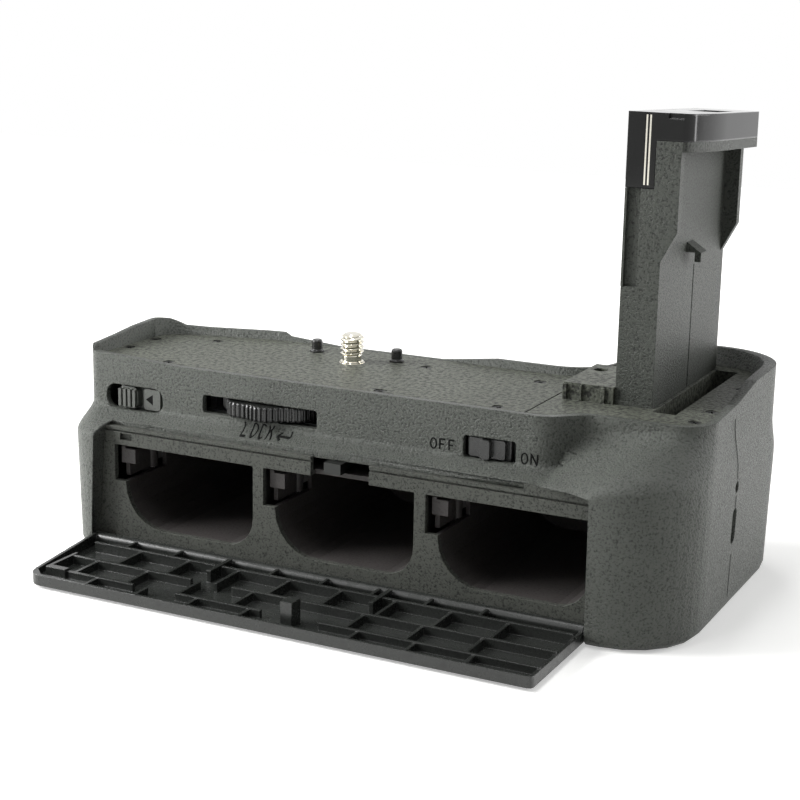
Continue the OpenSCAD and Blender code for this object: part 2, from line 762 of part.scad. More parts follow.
// Battery catches: a lever on an upright pin, with a nose at the bay's mouth
nose_in = 1.8;
nose_d = 2;
nose_drop = 0.6;
catch_step = 2;
catch_upper = 4.6;
module battery_catch(i) {
    x0 = bay_left[i] - catch_x - catch_t / 2;
    front = face_y + face_t + ear_gap;
    mid_z = catch_top - catch_upper;
    color("#2a2b2a") difference() {
        union() {
            box([x0, front, mid_z], [x0 + catch_t, catch_pin_y, catch_top]);
            box([x0, front + catch_step, catch_low], [x0 + catch_t, catch_pin_y, mid_z + eps]);
            box([x0, front, mid_z], [bay_left[i] + nose_in, front + nose_d, catch_top - nose_drop]);
            translate([bay_left[i] - catch_x, catch_pin_y, catch_low])
                cylinder(r = catch_boss_r, h = catch_h);
        }
        translate([bay_left[i] - catch_x, catch_pin_y, catch_low - over])
            cylinder(r = catch_pin_r + bearing_gap, h = catch_h + 2 * over);
    }
}
module battery_catch_1() { battery_catch(0); }
module battery_catch_2() { battery_catch(1); }
module battery_catch_3() { battery_catch(2); }
module catch_pins() {
    for (x = bay_left)
        color("#b7b8b8") translate([x - catch_x, catch_pin_y, catch_low - ear_gap - ear_t])
            cylinder(r = catch_pin_r, h = catch_h + 2 * (ear_gap + ear_t));
}
// Leaf springs on the sleeve wall, each with its end against a catch's boss
leaf_t = 0.3;
leaf_len = 16;
leaf_inset = 1.5;
module catch_springs() {
    for (x = bay_left)
        color("#b7b8b8")
            box([x - sleeve_t - leaf_t, catch_pin_y + catch_boss_r + fit, catch_low + leaf_inset],
                [x - sleeve_t, catch_pin_y + leaf_len, catch_top - leaf_inset]);
}

// Bay door, shown open and flat
rib_top = 1.7;
rib_fall = 1.4;
rim_fall = 1.5;
rib_end_gap = 0.3;
barrel_r = 1.7;
door_len = -hinge_z - recess_top - door_gap;
door_right = recess_right - door_gap;
door_end = hinge_y - door_len;
skin_top = hinge_z - skin_drop + skin_t - eps;
function door_left(u) = -recess_left - slope * (-hinge_z - u - recess_top) + door_gap;
door_ring = concat(
    [[door_right, hinge_y], [door_left(0), hinge_y]],
    [for (k = [0:round_steps]) let (a = 90 * k / round_steps)
        [door_left(door_len) + door_corner * (1 - cos(a)), door_end + door_corner * (1 - sin(a))]],
    [[door_right - corner_cut, door_end], [door_right - corner_mid, door_end + corner_mid],
     [door_right, door_end + corner_cut]]);
// Rails along the door: distance from the hinge axis, and the stretches that they cover
door_wide = 2 * body_right;
rail_u = [6.6, 17.4, 27];
rail_spans = [
    [[-52.4, door_wide]],
    [[-52.4, -15], [-3, door_wide]],
    [[-46.5, -26], [-13.5, 11], [27, door_wide]]
];
// Cross ribs in the four strips between the rails: first place and step
strip_first = [-43, -38, -44, -37];
strip_step = [14.6, 15, 15.6, 14.9];
strip_ribs = 8;
strip_u = [1.6, rail_u[0], rail_u[1], rail_u[2], door_len];
open_x0 = 12;
open_x1 = 26;
tall_ribs = [-13.5, 33];
tall_rib_t = 1.2;
tall_rib_u = 12;
tab_x = 17.6;
tab_w = 3.2;
tab_d = 4.2;
tab_from = 3.4;
tab_rise = 3;
// Ribs grow lower towards the free edge
function rib_at(u) = rib_top - rib_fall * u / door_len;
module door_rim() {
    d = rib_t;
    linear_extrude(skin_drop + rib_top - rim_fall) difference() {
        polygon(door_ring);
        polygon([[door_right - d, hinge_y - d / 2], [door_left(0) + d, hinge_y - d / 2],
                 [door_left(door_len - door_corner) + d, door_end + door_corner],
                 [door_left(door_len) + door_corner, door_end + d],
                 [door_right - corner_cut, door_end + d], [door_right - d, door_end + corner_cut]]);
    }
}
// Side wall at the left end, growing taller towards the hinge
module door_side() {
    u = door_len - door_corner;
    hull() {
        box([door_left(0), hinge_y - rib_t, skin_top], [door_left(0) + rib_t, hinge_y, hinge_z + rib_top]);
        box([door_left(u), hinge_y - u, skin_top],
            [door_left(u) + rib_t, hinge_y - u + rib_t, hinge_z + rib_top - rim_fall]);
    }
}
// Channel along the side wall, closed towards the free edge by a short bar
channel_x = -52;
channel_u = [15.4, 26.2];
channel_bar = [5.6, 1.8];
module door_channel() {
    door_cross(channel_x, rib_t, channel_u[0], channel_u[1], rib_at(channel_u[0]));
    box([channel_x - rib_t / 2, hinge_y - channel_u[1] - channel_bar[1], skin_top],
        [channel_x + channel_bar[0], hinge_y - channel_u[1] + eps, hinge_z + rib_at(channel_u[0])]);
}
module door_rail(u, x0, x1) {
    box([x0, hinge_y - u - rib_t / 2, skin_top],
        [min(x1, door_right - rib_end_gap), hinge_y - u + rib_t / 2, hinge_z + rib_at(u)]);
}
module door_cross(x, w, u0, u1, top) {
    box([x - w / 2, hinge_y - u1, skin_top], [x + w / 2, hinge_y - u0, hinge_z + top]);
}
module door_ribs() {
    for (r = [0:2], s = rail_spans[r])
        door_rail(rail_u[r], s[0], s[1]);
    for (s = [0:3], k = [0:strip_ribs - 1]) {
        x = strip_first[s] + strip_step[s] * k;
        if (x < door_right - corner_cut && (s < 2 || x < open_x0 || x > open_x1))
            door_cross(x, rib_t, strip_u[s], strip_u[s + 1], rib_at(strip_u[s + 1]));
    }
    for (x = tall_ribs)
        door_cross(x, tall_rib_t, strip_u[0], tall_rib_u, rib_top);
}
module battery_door() {
    color("#2c2e2c") difference() {
        union() {
            translate([0, 0, hinge_z - skin_drop]) linear_extrude(skin_t) polygon(door_ring);
            translate([0, 0, hinge_z - skin_drop]) door_rim();
            door_side();
            door_channel();
            door_ribs();
            x_rod(hinge_x0 + door_gap, door_right, hinge_y, hinge_z, barrel_r);
            box([tab_x, door_end + tab_from, skin_top],
                [tab_x + tab_w, door_end + tab_from + tab_d, hinge_z + rib_top + tab_rise]);
        }
        x_rod(hinge_x0 - over, door_right + over, hinge_y, hinge_z, hinge_pin_r + bearing_gap);
    }
}
module hinge_pin() {
    color("#b7b8b8")
        x_rod(hinge_x0 - hinge_grip + fit, recess_right + hinge_grip - fit, hinge_y, hinge_z, hinge_pin_r);
}

// Door latch: knob and pointer plate in the panel, and the bar behind it with its hook
guide_y = -panel_y + wall + run_gap;
slide_t = 1.2;
knob_out = 1;
knob_w = 6;
knob_margin = 0.2;
knob_round = 1.6;
knob_sink = 0.2;
ridges = 4;
ridge_w = 0.9;
ridge_step = 1.5;
ridge_edge = 0.4;
ridge_inset = 0.5;
arrow_gap = 1.6;
arrow_margin = 1.2;
arrow_round = 1;
arrow_sink = 0.5;
knob_x0 = latch_x0 + latch_travel + run_gap + knob_margin;
knob_x1 = knob_x0 + knob_w;
arrow_x1 = latch_x1 - arrow_margin;
knob_half = latch_slot_h / 2 - run_gap;
slide_edge = [0.8, 0.6];
module latch_slider() {
    color("#3a3c3a") union() {
        box([knob_x0 - slide_edge[0], guide_y, latch_mid - knob_half - slide_edge[1]],
            [arrow_x1 + slide_edge[1], guide_y + slide_t, latch_mid + knob_half + ridge_edge]);
        along_y(-panel_y + knob_sink, guide_y + eps)
            round_rect([knob_x0, latch_mid - knob_half], [knob_x1, latch_mid + knob_half], knob_round);
        for (k = [0:ridges - 1]) {
            x = knob_x0 + ridge_edge + ridge_step * k;
            box([x, -panel_y - knob_out, latch_mid - knob_half + ridge_inset],
                [x + ridge_w, -panel_y + knob_sink + eps, latch_mid + knob_half - ridge_inset]);
        }
        along_y(-panel_y + arrow_sink, guide_y + eps)
            round_rect([knob_x1 + arrow_gap, latch_mid - knob_half], [arrow_x1, latch_mid + knob_half],
                arrow_round);
    }
}
bar_t = 2;
bar_low = -18.6;
bar_top = -16.4;
bar_lead = 0.6;
bar_y0 = guide_y + slide_t;
bar_y1 = bar_y0 + bar_t;
tongue_w = 8.6;
tongue_t = 1.4;
tongue_top = 1.6;
lug_at = 10;
lug_w = 2;
hook_x0 = 12.6;
hook_gap = 0.3;
hook_x1 = tab_x - hook_gap;
hook_top = -recess_top - 2.1;
hook_h = 2.8;
hook_out = 1.4;
// Coil spring between the bar's lug and a fixed stop
spring_r = 1.3;
spring_wire = 0.25;
spring_turns = 8;
spring_lead = 0.5;
spring_gap = 0.6;
spring_y = bar_y1 + spring_r + spring_gap;
spring_x0 = knob_x0 - spring_lead;
spring_pitch = (lug_at + spring_lead - spring_wire - fit / 2) / spring_turns;
stop_t = 1.6;
module latch_bar() {
    x0 = knob_x0 - bar_lead;
    lug_x = knob_x0 + lug_at;
    color("#8a8c8c") union() {
        box([x0, bar_y0, bar_low], [x0 + tongue_w, bar_y0 + tongue_t, latch_mid + tongue_top]);
        box([x0, bar_y0, bar_low], [hook_x1, bar_y1, bar_top]);
        box([hook_x0, face_y - hook_out, hook_top - hook_h], [hook_x1, bar_y1, hook_top]);
        box([lug_x, bar_y0, bar_low], [lug_x + lug_w, spring_y + spring_r, bar_top]);
    }
}
wire_sides = 6;
coil_step = 45;
function coil_point(t) =
    [spring_x0 + spring_pitch * t / 360, spring_y + (spring_r - spring_wire) * sin(t),
     (bar_low + bar_top) / 2 + (spring_r - spring_wire) * cos(t)];
function coil_ring(t) =
    let (c = coil_point(t), out = [0, sin(t), cos(t)])
    [for (k = [0:wire_sides - 1]) let (a = 360 * k / wire_sides)
        c + spring_wire * (cos(a) * out + sin(a) * [1, 0, 0])];
module latch_spring() {
    color("#b7b8b8") loft([for (t = [0:coil_step:360 * spring_turns]) coil_ring(t)],
        coil_point(0), coil_point(360 * spring_turns));
}

// Lock wheel and gear pair
gear_slack = 0.2;
knurls = 66;
knurl_d = 0.6;
lobes = 9;
lobe_d = 1.1;
bracket_top = -11.9;
bracket_t = 1.4;
hub_wall = 2;
hub_gap = 0.2;
hub_step = 0.8;
function wheel_edge(k) =
    let (a = 360 * k / (4 * knurls), tip = (k % 4 < 2) ? 0 : knurl_d)
    (wheel_r - tip - lobe_d * (1 - cos(lobes * a)) / 2) * [cos(a), sin(a)];
module lock_wheel() {
    color("#232423") translate([wheel_x, wheel_y, 0]) difference() {
        union() {
            translate([0, 0, wheel_top - wheel_t]) linear_extrude(wheel_t)
                polygon([for (k = [0:4 * knurls - 1]) wheel_edge(k)]);
            translate([0, 0, bracket_top + hub_gap])
                cylinder(r = axle_r + hub_wall, h = wheel_top - bracket_top - hub_gap - hub_step);
        }
        translate([0, 0, bracket_top - over])
            cylinder(r = axle_r + bearing_gap, h = wheel_top - bracket_top + 2 * over);
    }
}
// A spur gear with straight-sided teeth, half a tooth's step on where half_turn is 0.5
tooth_root = 0.36;
tooth_tip = 0.14;
module spur(teeth, bore, half_turn) {
    p = gear_module * teeth / 2;
    root = p - dedendum * gear_module;
    tip = p + addendum * gear_module;
    step = 360 / teeth;
    slack = gear_slack / p / 4 * 180 / PI;
    difference() {
        polygon([for (k = [0:teeth - 1],
                      e = [[root, -tooth_root], [tip, -tooth_tip], [tip, tooth_tip], [root, tooth_root]])
            let (a = step * (k + half_turn + e[1]) - sign(e[1]) * slack)
            e[0] * [cos(a), sin(a)]]);
        circle(r = bore);
    }
}
mesh_angle = atan2(-wheel_y, -wheel_x);
shaft_r = 3;
foot_r = 2.5;
module wheel_gear() {
    color("#d8d5c8") translate([wheel_x, wheel_y, wheel_top]) rotate(mesh_angle)
        linear_extrude(gear_top - wheel_top) spur(wheel_teeth, axle_r + bearing_gap, 0);
}
module screw_gear() {
    color("#d8d5c8") translate([0, 0, gear_low]) rotate(mesh_angle + 180)
        linear_extrude(gear_top - gear_low) spur(screw_teeth, shaft_r + press_gap, 0.5);
}
// Camera screw: foot, shaft, collar, journal, shoulder, neck and the thread as rings
thread_depth = 0.65;
neck_depth = 0.55;
thread_start = 2.2;
tip_h = 0.9;
tip_bevel = 0.3;
tip_in = 1;
collar_w = 1.5;
collar_gap = 0.2;
shoulder_h = 0.35;
thread_lead = 0.3;
crest = [0.36, 0.64];
module camera_screw() {
    neck = thread_r - neck_depth;
    root = thread_r - thread_depth;
    turns = floor((screw_h - thread_start) / thread_pitch);
    first = screw_h - tip_h - turns * thread_pitch;
    collar_top = -plate_t - collar_gap;
    crests = [for (k = [0:turns - 1]) let (z = first + k * thread_pitch)
        each [[root, z], [thread_r, z + crest[0] * thread_pitch], [thread_r, z + crest[1] * thread_pitch]]];
    color("#c9c7bd") rotate_extrude() polygon(concat(
        [[0, bracket_top - bracket_t], [foot_r, bracket_top - bracket_t], [foot_r, bracket_top],
         [shaft_r, bracket_top + hub_gap], [shaft_r, gear_top], [journal_r + collar_w, gear_top],
         [journal_r + collar_w, collar_top], [journal_r, collar_top], [journal_r, 0],
         [thread_r, 0], [thread_r, shoulder_h], [neck, shoulder_h], [neck, first - thread_lead]],
        crests,
        [[root, screw_h - tip_h], [root - tip_bevel, screw_h - tip_bevel], [root - tip_in, screw_h],
         [0, screw_h]]));
}
module wheel_axle() {
    color("#b7b8b8") translate([wheel_x, wheel_y, bracket_top - bracket_t])
        cylinder(r = axle_r, h = -plate_t - bracket_top + bracket_t);
}
bracket_ends = [4, 5.5];
bracket_half = 6;
leg_half = 4;
leg_t = 2;
module gear_bracket() {
    x0 = wheel_x - wheel_r - bracket_ends[0];
    x1 = gear_module * screw_teeth / 2 + bracket_ends[1];
    low = bracket_top - bracket_t;
    color("#9a9c9c") difference() {
        union() {
            box([x0, wheel_y - bracket_half, low], [x1, bracket_half, bracket_top]);
            for (x = [x0, x1 - leg_t])
                box([x, wheel_y - leg_half, low], [x + leg_t, leg_half, -plate_t]);
        }
        translate([wheel_x, wheel_y, low - over]) cylinder(r = axle_r + press_gap, h = bracket_t + 2 * over);
        translate([0, 0, low - over]) cylinder(r = foot_r + bearing_gap, h = bracket_t + 2 * over);
    }
}

// Power switch: the knob in the panel and the slide switch behind it
switch_margin = [0.9, 0.2];
switch_round = 0.6;
switch_sink = 0.6;
switch_edge = 1;
switch_knob_x0 = switch_x0 + run_gap + switch_margin[0];
switch_knob_x1 = switch_x1 - run_gap - switch_travel - switch_margin[1];
switch_half = switch_slot_h / 2 - run_gap;
peg_half = 1;
peg_in = 1.2;
finger_half = 1.3;
peg_mid = (switch_knob_x0 + switch_knob_x1) / 2;
can_gap = 0.5;
can_d = 6;
can_ends = [6, 8];
can_top = switch_mid + 2.6;
can_wall = 2;
can_y0 = guide_y + slide_t + can_gap;
module power_switch() {
    low = switch_mid - switch_half;
    top = switch_mid + switch_half;
    color("#2b2d2b") union() {
        box([switch_knob_x0 - switch_edge, guide_y, low - switch_edge],
            [switch_knob_x1 + switch_edge, guide_y + slide_t, top + switch_edge]);
        along_y(-panel_y + switch_sink, guide_y + eps)
            round_rect([switch_knob_x0, low], [switch_knob_x1, top], switch_round);
        along_y(-panel_y - knob_out, guide_y + eps)
            round_rect([peg_mid - finger_half, low], [peg_mid + finger_half, top], switch_round);
        box([peg_mid - peg_half, guide_y, switch_mid - peg_half],
            [peg_mid + peg_half, can_y0 + peg_in, switch_mid + peg_half]);
    }
}
module slide_switch() {
    room = peg_half + run_gap;
    color("#a8aaab") difference() {
        box([peg_mid - can_ends[0], can_y0, board_top], [peg_mid + can_ends[1], can_y0 + can_d, can_top]);
        box([peg_mid - room, can_y0 - over, switch_mid - room],
            [peg_mid + room + switch_travel, can_y0 + can_wall, switch_mid + room]);
    }
}
board_x0 = 24;
board_x1 = 75;
board_y1 = -1;
module circuit_board() {
    color("#1f5a3a") difference() {
        box([board_x0, can_y0 - can_gap, board_top - board_t], [board_x1, board_y1, board_top]);
        for (p = board_posts)
            translate([p[0], p[1], board_top - board_t - over])
                cylinder(r = plate_screw_r + screw_clear, h = board_t + 2 * over);
    }
}
board_screw_len = 3;
module board_screws() {
    for (p = board_posts)
        color("#b7b8b8") translate([p[0], p[1], board_top + screw_head_t]) small_screw(board_screw_len);
}

// Charging socket on its own upright board behind the right end
socket_len = 5.2;
socket_out = 0.6;
socket_wall = 0.35;
socket_floor = 0.6;
tongue_half = 0.35;
tongue_inset = 1.2;
tongue_back = 0.8;
port_board_half = 9;
port_board_low = 8;
port_board_top = 5;
lens_sink = 1;
socket_x0 = body_right - wall - socket_len;
module charge_socket() {
    color("#b9bbbb") difference() {
        port_pill(port_t / 2, socket_x0, low_right - wall + socket_out);
        port_pill(port_t / 2 - socket_wall, socket_x0 + socket_floor, low_right + over);
    }
    color("#1b1c1b")
        box([socket_x0 + socket_floor - eps, -tongue_half, port_z - port_h / 2 + tongue_inset],
            [body_right - tongue_back, tongue_half, port_z + port_h / 2 - tongue_inset]);
}
module port_board() {
    color("#1f5a3a") box([socket_x0 - board_t, -port_board_half, port_z - port_board_low],
        [socket_x0, port_board_half, lens_z + port_board_top]);
}
module indicator_lens() {
    color("#e8eae6") x_rod(socket_x0, low_right - lens_sink, 0, lens_z, lens_r);
}

// Tower deck with the raised block, the tower's well and the cover pocket
web_x = tower_x + tower_w;
tower_far = -tower_near + tower_d;
pocket_gap = 1.1;
pocket_x0 = web_x + pocket_gap;
pocket_x1 = pocket_x0 + pocket_w;
pocket_y0 = -11.4;
pocket_y1 = 42;
pocket_wall = 1.2;
block_x0 = 64.6;
block_y0 = -9.4;
block_y1 = 14;
block_top = 4.3;
key_x = [0, 4, 10];
key_w = 1;
key_out = 0.6;
key_drop = 0.4;
cable_hole = [68, 8];
cable_hole_r = 1.8;
module pocket_tub(grow) {
    out = pocket_wall + grow;
    box([pocket_x0 - pocket_wall / 2 - grow, pocket_y0 - out, -pocket_d - out],
        [pocket_x1 + out, pocket_y1 + out, -plate_t + eps]);
}
module tower_deck() {
    color("#4a4d49") difference() {
        union() {
            translate([0, 0, -plate_t]) linear_extrude(plate_t) seat_area(false);
            box([block_x0, block_y0, -plate_t], [tower_x - fit, block_y1, block_top]);
            for (x = key_x)
                box([block_x0 + x, block_y0 - key_out, -plate_t],
                    [block_x0 + x + key_w, block_y0 + eps, block_top - key_drop]);
            pocket_tub(0);
        }
        box([tower_x - fit, -tower_near - fit, -body_h], [web_x + fit, tower_far + fit, tower_h]);
        box([pocket_x0, pocket_y0, -pocket_d], [pocket_x1, pocket_y1, over]);
        translate([cable_hole[0], cable_hole[1], -plate_t - over])
            cylinder(r = cable_hole_r, h = block_top + plate_t + 2 * over);
        plate_screw_holes(deck_screw_at);
    }
}

// Tower halves: a hollow web with side walls towards the pocket and an overhanging head
head_h = 2.4;
head_tilt = 2.6;
head_fall = tower_d * tan(head_tilt);
band_z = tower_h - cap_h;
head_z = band_z - head_h;
web_split = -tower_near + tower_d / 2;
head_x1 = tower_x + head_w;
head_round = [4, 22];
head_bevel = 3;
wing_w = 3.8;
wing_t = 2.5;
wing_rise = 7.4;
wing_low = [36, 32.4];
wedge_y = [12, 17];
wedge_z = [33.6, 35.9, 38.4];
wedge_w = 3.8;
wedge_lip = 1.6;
foot_w = 0.9;
foot_h = 2;
leg_z = 53.3;
leg_w = 7.2;
leg_y1 = 8;
leg_x1 = tower_x + leg_w;
neck_in = 3;
groove_x = [0.6, 4];
groove_z = 29.5;
groove_d = 1.2;
step_d = 0.25;
slit_y = 19;
slit_half = 0.3;
slit_d = 0.5;
slit_z = 32;
// Outline of the tower's head and cap seen from above
module head_outline() {
    polygon(concat(
        [[tower_x, tower_far], [tower_x, -tower_near]],
        [for (k = [0:round_steps]) let (a = 90 * k / round_steps)
            [head_x1 - head_round[0] * (1 - sin(a)), -tower_near + head_round[1] * (1 - cos(a))]],
        [[head_x1, tower_far - head_bevel], [head_x1 - head_bevel, tower_far]]));
}
// A block of height h on a level that falls from z at the near face towards the far side
module on_level(z, h) {
    translate([tower_x - over, -tower_near, z]) rotate([-head_tilt, 0, 0]) translate([0, -2 * over, 0])
        cube([head_w + 2 * over, tower_d + 4 * over, h * cos(head_tilt)]);
}
// The head's stretch between two such levels
module head_slab(z0, z1) {
    intersection() {
        translate([0, 0, z0 - head_fall]) linear_extrude(z1 - z0 + head_fall) head_outline();
        on_level(z0, z1 - z0);
    }
}
module wing(y0, y1, low) {
    along_y(y0, y1) polygon([[web_x - over, low], [web_x, low], [web_x + wing_w, low + wing_rise],
        [web_x + wing_w, head_z + eps], [web_x - over, head_z + eps]]);
}
// The flange that holds the tower under the deck
module tower_foot(grow) {
    box([tower_x - grow, -tower_near - foot_w - grow, -plate_t - foot_h - grow],
        [web_x - foot_w + grow, tower_far + foot_w + grow, -plate_t + grow / 10]);
}
module tower_body() {
    hollow_top = head_z - tower_wall;
    difference() {
        union() {
            box([tower_x, -tower_near, -plate_t], [web_x, tower_far, head_z + eps]);
            tower_foot(0);
            head_slab(head_z, band_z);
            wing(-tower_near, -tower_near + wing_t, wing_low[0]);
            wing(tower_far - wing_t, tower_far, wing_low[1]);
            along_y(wedge_y[0], wedge_y[1]) polygon([[web_x - over, wedge_z[2]], [web_x, wedge_z[2]],
                [web_x + wedge_w, wedge_z[1]], [web_x + wedge_w, wedge_z[0]],
                [web_x + wedge_w - wedge_lip, wedge_z[0]], [web_x + wedge_w - wedge_lip, wedge_z[1]],
                [web_x - over, wedge_z[1]]]);
        }
        box([tower_x + tower_wall, -tower_near + tower_wall, -plate_t - foot_h - over],
            [web_x - tower_wall, tower_far - tower_wall, hollow_top]);
        on_level(band_z, tower_h);
        box([tower_x + groove_x[0], -tower_near - over, groove_z],
            [tower_x + groove_x[1], -tower_near + groove_d, leg_z + eps]);
        box([tower_x - over, -tower_near - over, over],
            [tower_x + groove_x[1], -tower_near + step_d, groove_z + eps]);
        box([tower_x - over, -tower_near - over, leg_z], [leg_x1 + fit, leg_y1 + fit, band_z + over]);
        box([tower_x + neck_in, -tower_near + tower_wall, hollow_top - eps],
            [web_x - neck_in, leg_y1, band_z + over]);
        box([web_x - slit_d, slit_y - slit_half, 0], [web_x + over, slit_y + slit_half, slit_z]);
    }
}
module tower_half(near) {
    intersection() {
        tower_body();
        box([tower_x - over, near ? -tower_near - over : web_split, -body_h],
            [head_x1 + over, near ? web_split : tower_far + over, tower_h]);
    }
}
module tower_near_half() { color("#343632") tower_half(true); }
module tower_far_half() { color("#343632") tower_half(false); }
cap_slots = [4.35, 5.25];
cap_slot_w = 0.6;
cap_slot_d = 4;
cap_slot_edge = [0.8, 0.5];
contact_sink = 0.1;
contact_gap = 0.1;
cap_dip = 1.2;
cap_dip_x = [11, 3.5];
cap_dip_y = [25, 39];
cap_notch_x = [9.9, 13.8];
cap_notch_d = 1.3;
module tower_cap() {
    color("#0d0e0e") difference() {
        union() {
            head_slab(band_z, tower_h);
            box([tower_x, -tower_near, leg_z + fit], [leg_x1, leg_y1, band_z + eps]);
        }
        for (x = cap_slots)
            box([tower_x + x, -tower_near - over, leg_z + cap_slot_edge[0]],
                [tower_x + x + cap_slot_w, -tower_near + cap_slot_d, tower_h - cap_slot_edge[1]]);
        translate([0, -tower_near, tower_h]) rotate([-head_tilt, 0, 0])
            box([head_x1 - cap_dip_x[0], cap_dip_y[0], -cap_dip],
                [head_x1 - cap_dip_x[1], cap_dip_y[1], over]);
        box([tower_x + cap_notch_x[0], -tower_near - over, tower_h - cap_notch_d],
            [tower_x + cap_notch_x[1], -tower_near + cap_notch_d, tower_h + over]);
    }
}
module tower_contacts() {
    for (x = cap_slots)
        color("#c9c7bd")
            box([tower_x + x + contact_gap, -tower_near + contact_sink, leg_z + cap_slot_edge[0] + fit],
                [tower_x + x + cap_slot_w - contact_gap, -tower_near + cap_slot_d,
                 tower_h - cap_slot_edge[1] - fit]);
}
lead_half = [0.2, 6];
module tower_lead() {
    mid = (tower_x + web_x) / 2;
    color("#6b3f22")
        box([mid - lead_half[0], -lead_half[1], board_top], [mid + lead_half[0], lead_half[1], leg_z]);
}

rear_shell();
front_shell();
seat_plate();
tower_deck();
base_plate();
tripod_bush();
cage_face();
battery_sleeve_1();
battery_sleeve_2();
battery_sleeve_3();
contact_block_1();
contact_block_2();
contact_block_3();
bay_contacts();
battery_catch_1();
battery_catch_2();
battery_catch_3();
catch_pins();
catch_springs();
battery_door();
hinge_pin();
latch_slider();
latch_bar();
latch_spring();
lock_wheel();
wheel_gear();
wheel_axle();
screw_gear();
camera_screw();
gear_bracket();
locating_pins();
power_switch();
slide_switch();
circuit_board();
board_screws();
port_board();
charge_socket();
indicator_lens();
tower_near_half();
tower_far_half();
tower_cap();
tower_contacts();
tower_lead();
plate_screws();
deck_screws();
base_screws();
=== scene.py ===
"""Looks of a wide camera battery grip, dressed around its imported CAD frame.

Every piece is in metres in the frame's own axes: the origin is the camera screw's axis at the
seat, +X points to the tower, +Y to the camera's front and +Z up.
"""

import logging
import math
from dataclasses import dataclass, field
from enum import Enum
from typing import Optional, Sequence, Union

import bmesh
import bpy
import numpy as np
from bpy.types import Material, Mesh, Node, NodeSocket, NodeTree, Object
from mathutils import Matrix, Vector
from mathutils.bvhtree import BVHTree


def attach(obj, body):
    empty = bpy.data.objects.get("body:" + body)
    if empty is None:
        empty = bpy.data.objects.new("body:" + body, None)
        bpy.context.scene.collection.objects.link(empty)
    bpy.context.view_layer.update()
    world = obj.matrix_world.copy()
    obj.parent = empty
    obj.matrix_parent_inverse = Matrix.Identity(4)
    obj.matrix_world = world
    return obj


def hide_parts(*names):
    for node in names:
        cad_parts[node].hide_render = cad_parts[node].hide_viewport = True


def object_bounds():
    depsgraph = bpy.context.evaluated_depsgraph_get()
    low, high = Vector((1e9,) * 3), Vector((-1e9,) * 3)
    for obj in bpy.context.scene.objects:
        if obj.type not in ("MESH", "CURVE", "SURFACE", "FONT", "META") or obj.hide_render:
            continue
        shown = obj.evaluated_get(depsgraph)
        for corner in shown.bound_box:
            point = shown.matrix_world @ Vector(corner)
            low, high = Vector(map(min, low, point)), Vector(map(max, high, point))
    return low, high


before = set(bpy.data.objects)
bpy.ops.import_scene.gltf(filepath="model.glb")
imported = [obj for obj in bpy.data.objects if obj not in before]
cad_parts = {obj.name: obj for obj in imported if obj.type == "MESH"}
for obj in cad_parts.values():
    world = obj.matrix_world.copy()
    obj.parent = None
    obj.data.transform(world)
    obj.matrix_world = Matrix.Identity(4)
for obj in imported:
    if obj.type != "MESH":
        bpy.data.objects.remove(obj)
CAD_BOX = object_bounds()
LOG = logging.getLogger("battery_grip")
MM = 0.001
# Points nearer than this are one point
JOIN_MM = 0.001
# Faces and runs that turn by less than this are flat
FLAT_ANGLE = math.radians(0.5)
# Most of a noise texture's values lie between these
NOISE_RANGE = (0.3, 0.7)
UNIT_RANGE = (0.0, 1.0)
# How many points are laid on an outline at once
POINTS_AT_ONCE = 2000
# Keeps a division by the square of an edge's length safe
LEAST_SQUARE = 1e-12

Input = Union[int, float, NodeSocket]
Pair = tuple[float, float]
Point = tuple[float, float, float]
# A corner of an outline: x, y and radius
Corner = tuple[float, float, float]
# The points of one drawn line
Stroke = Sequence[Pair]
# A side of the body: its direction along the wall and its direction into the wall
Side = tuple[Point, Point]
NEAR: Side = ((1.0, 0.0, 0.0), (0.0, 1.0, 0.0))
RIGHT: Side = ((0.0, 1.0, 0.0), (-1.0, 0.0, 0.0))


class Body(Enum):
    """The rigid bodies that pieces ride on."""

    GRIP = "body"
    DOOR = "door"
    LATCH = "latch"
    WHEEL = "wheel"
    SCREW = "screw"
    SWITCH = "switch"


def linear(colour: str) -> tuple[float, float, float, float]:
    """Turns an sRGB hex value into linear RGBA.

    Args:
        colour: Six hex digits after a hash sign.

    Returns:
        Linear red, green and blue, with an alpha of 1.
    """
    parts = [int(colour[i:i + 2], 16) / 255 for i in (1, 3, 5)]
    red, green, blue = [c / 12.92 if c <= 0.04045 else ((c + 0.055) / 1.055) ** 2.4 for c in parts]
    return red, green, blue, 1.0


def add_node(tree: NodeTree, kind: str, inputs: Optional[dict] = None, **settings) -> Node:
    """Adds a node with its settings, values and links.

    Args:
        tree: The node tree that the node goes into.
        kind: The node's type name.
        inputs: Socket name or index to a value, or to the socket that is linked to it.
        **settings: Properties of the node itself.

    Returns:
        The new node.
    """
    node = tree.nodes.new(kind)
    for name, value in settings.items():
        setattr(node, name, value)
    for key, value in (inputs or {}).items():
        socket = node.inputs[key]
        if isinstance(value, NodeSocket):
            tree.links.new(value, socket)
        else:
            socket.default_value = value
    return node


def calc(tree: NodeTree, operation: str, *values: Input) -> NodeSocket:
    """Adds a math node.

    Args:
        tree: The node tree.
        operation: The math node's operation.
        *values: Its inputs in order, as numbers or sockets.

    Returns:
        The node's result.
    """
    return add_node(tree, "ShaderNodeMath", dict(enumerate(values)), operation=operation).outputs["Value"]


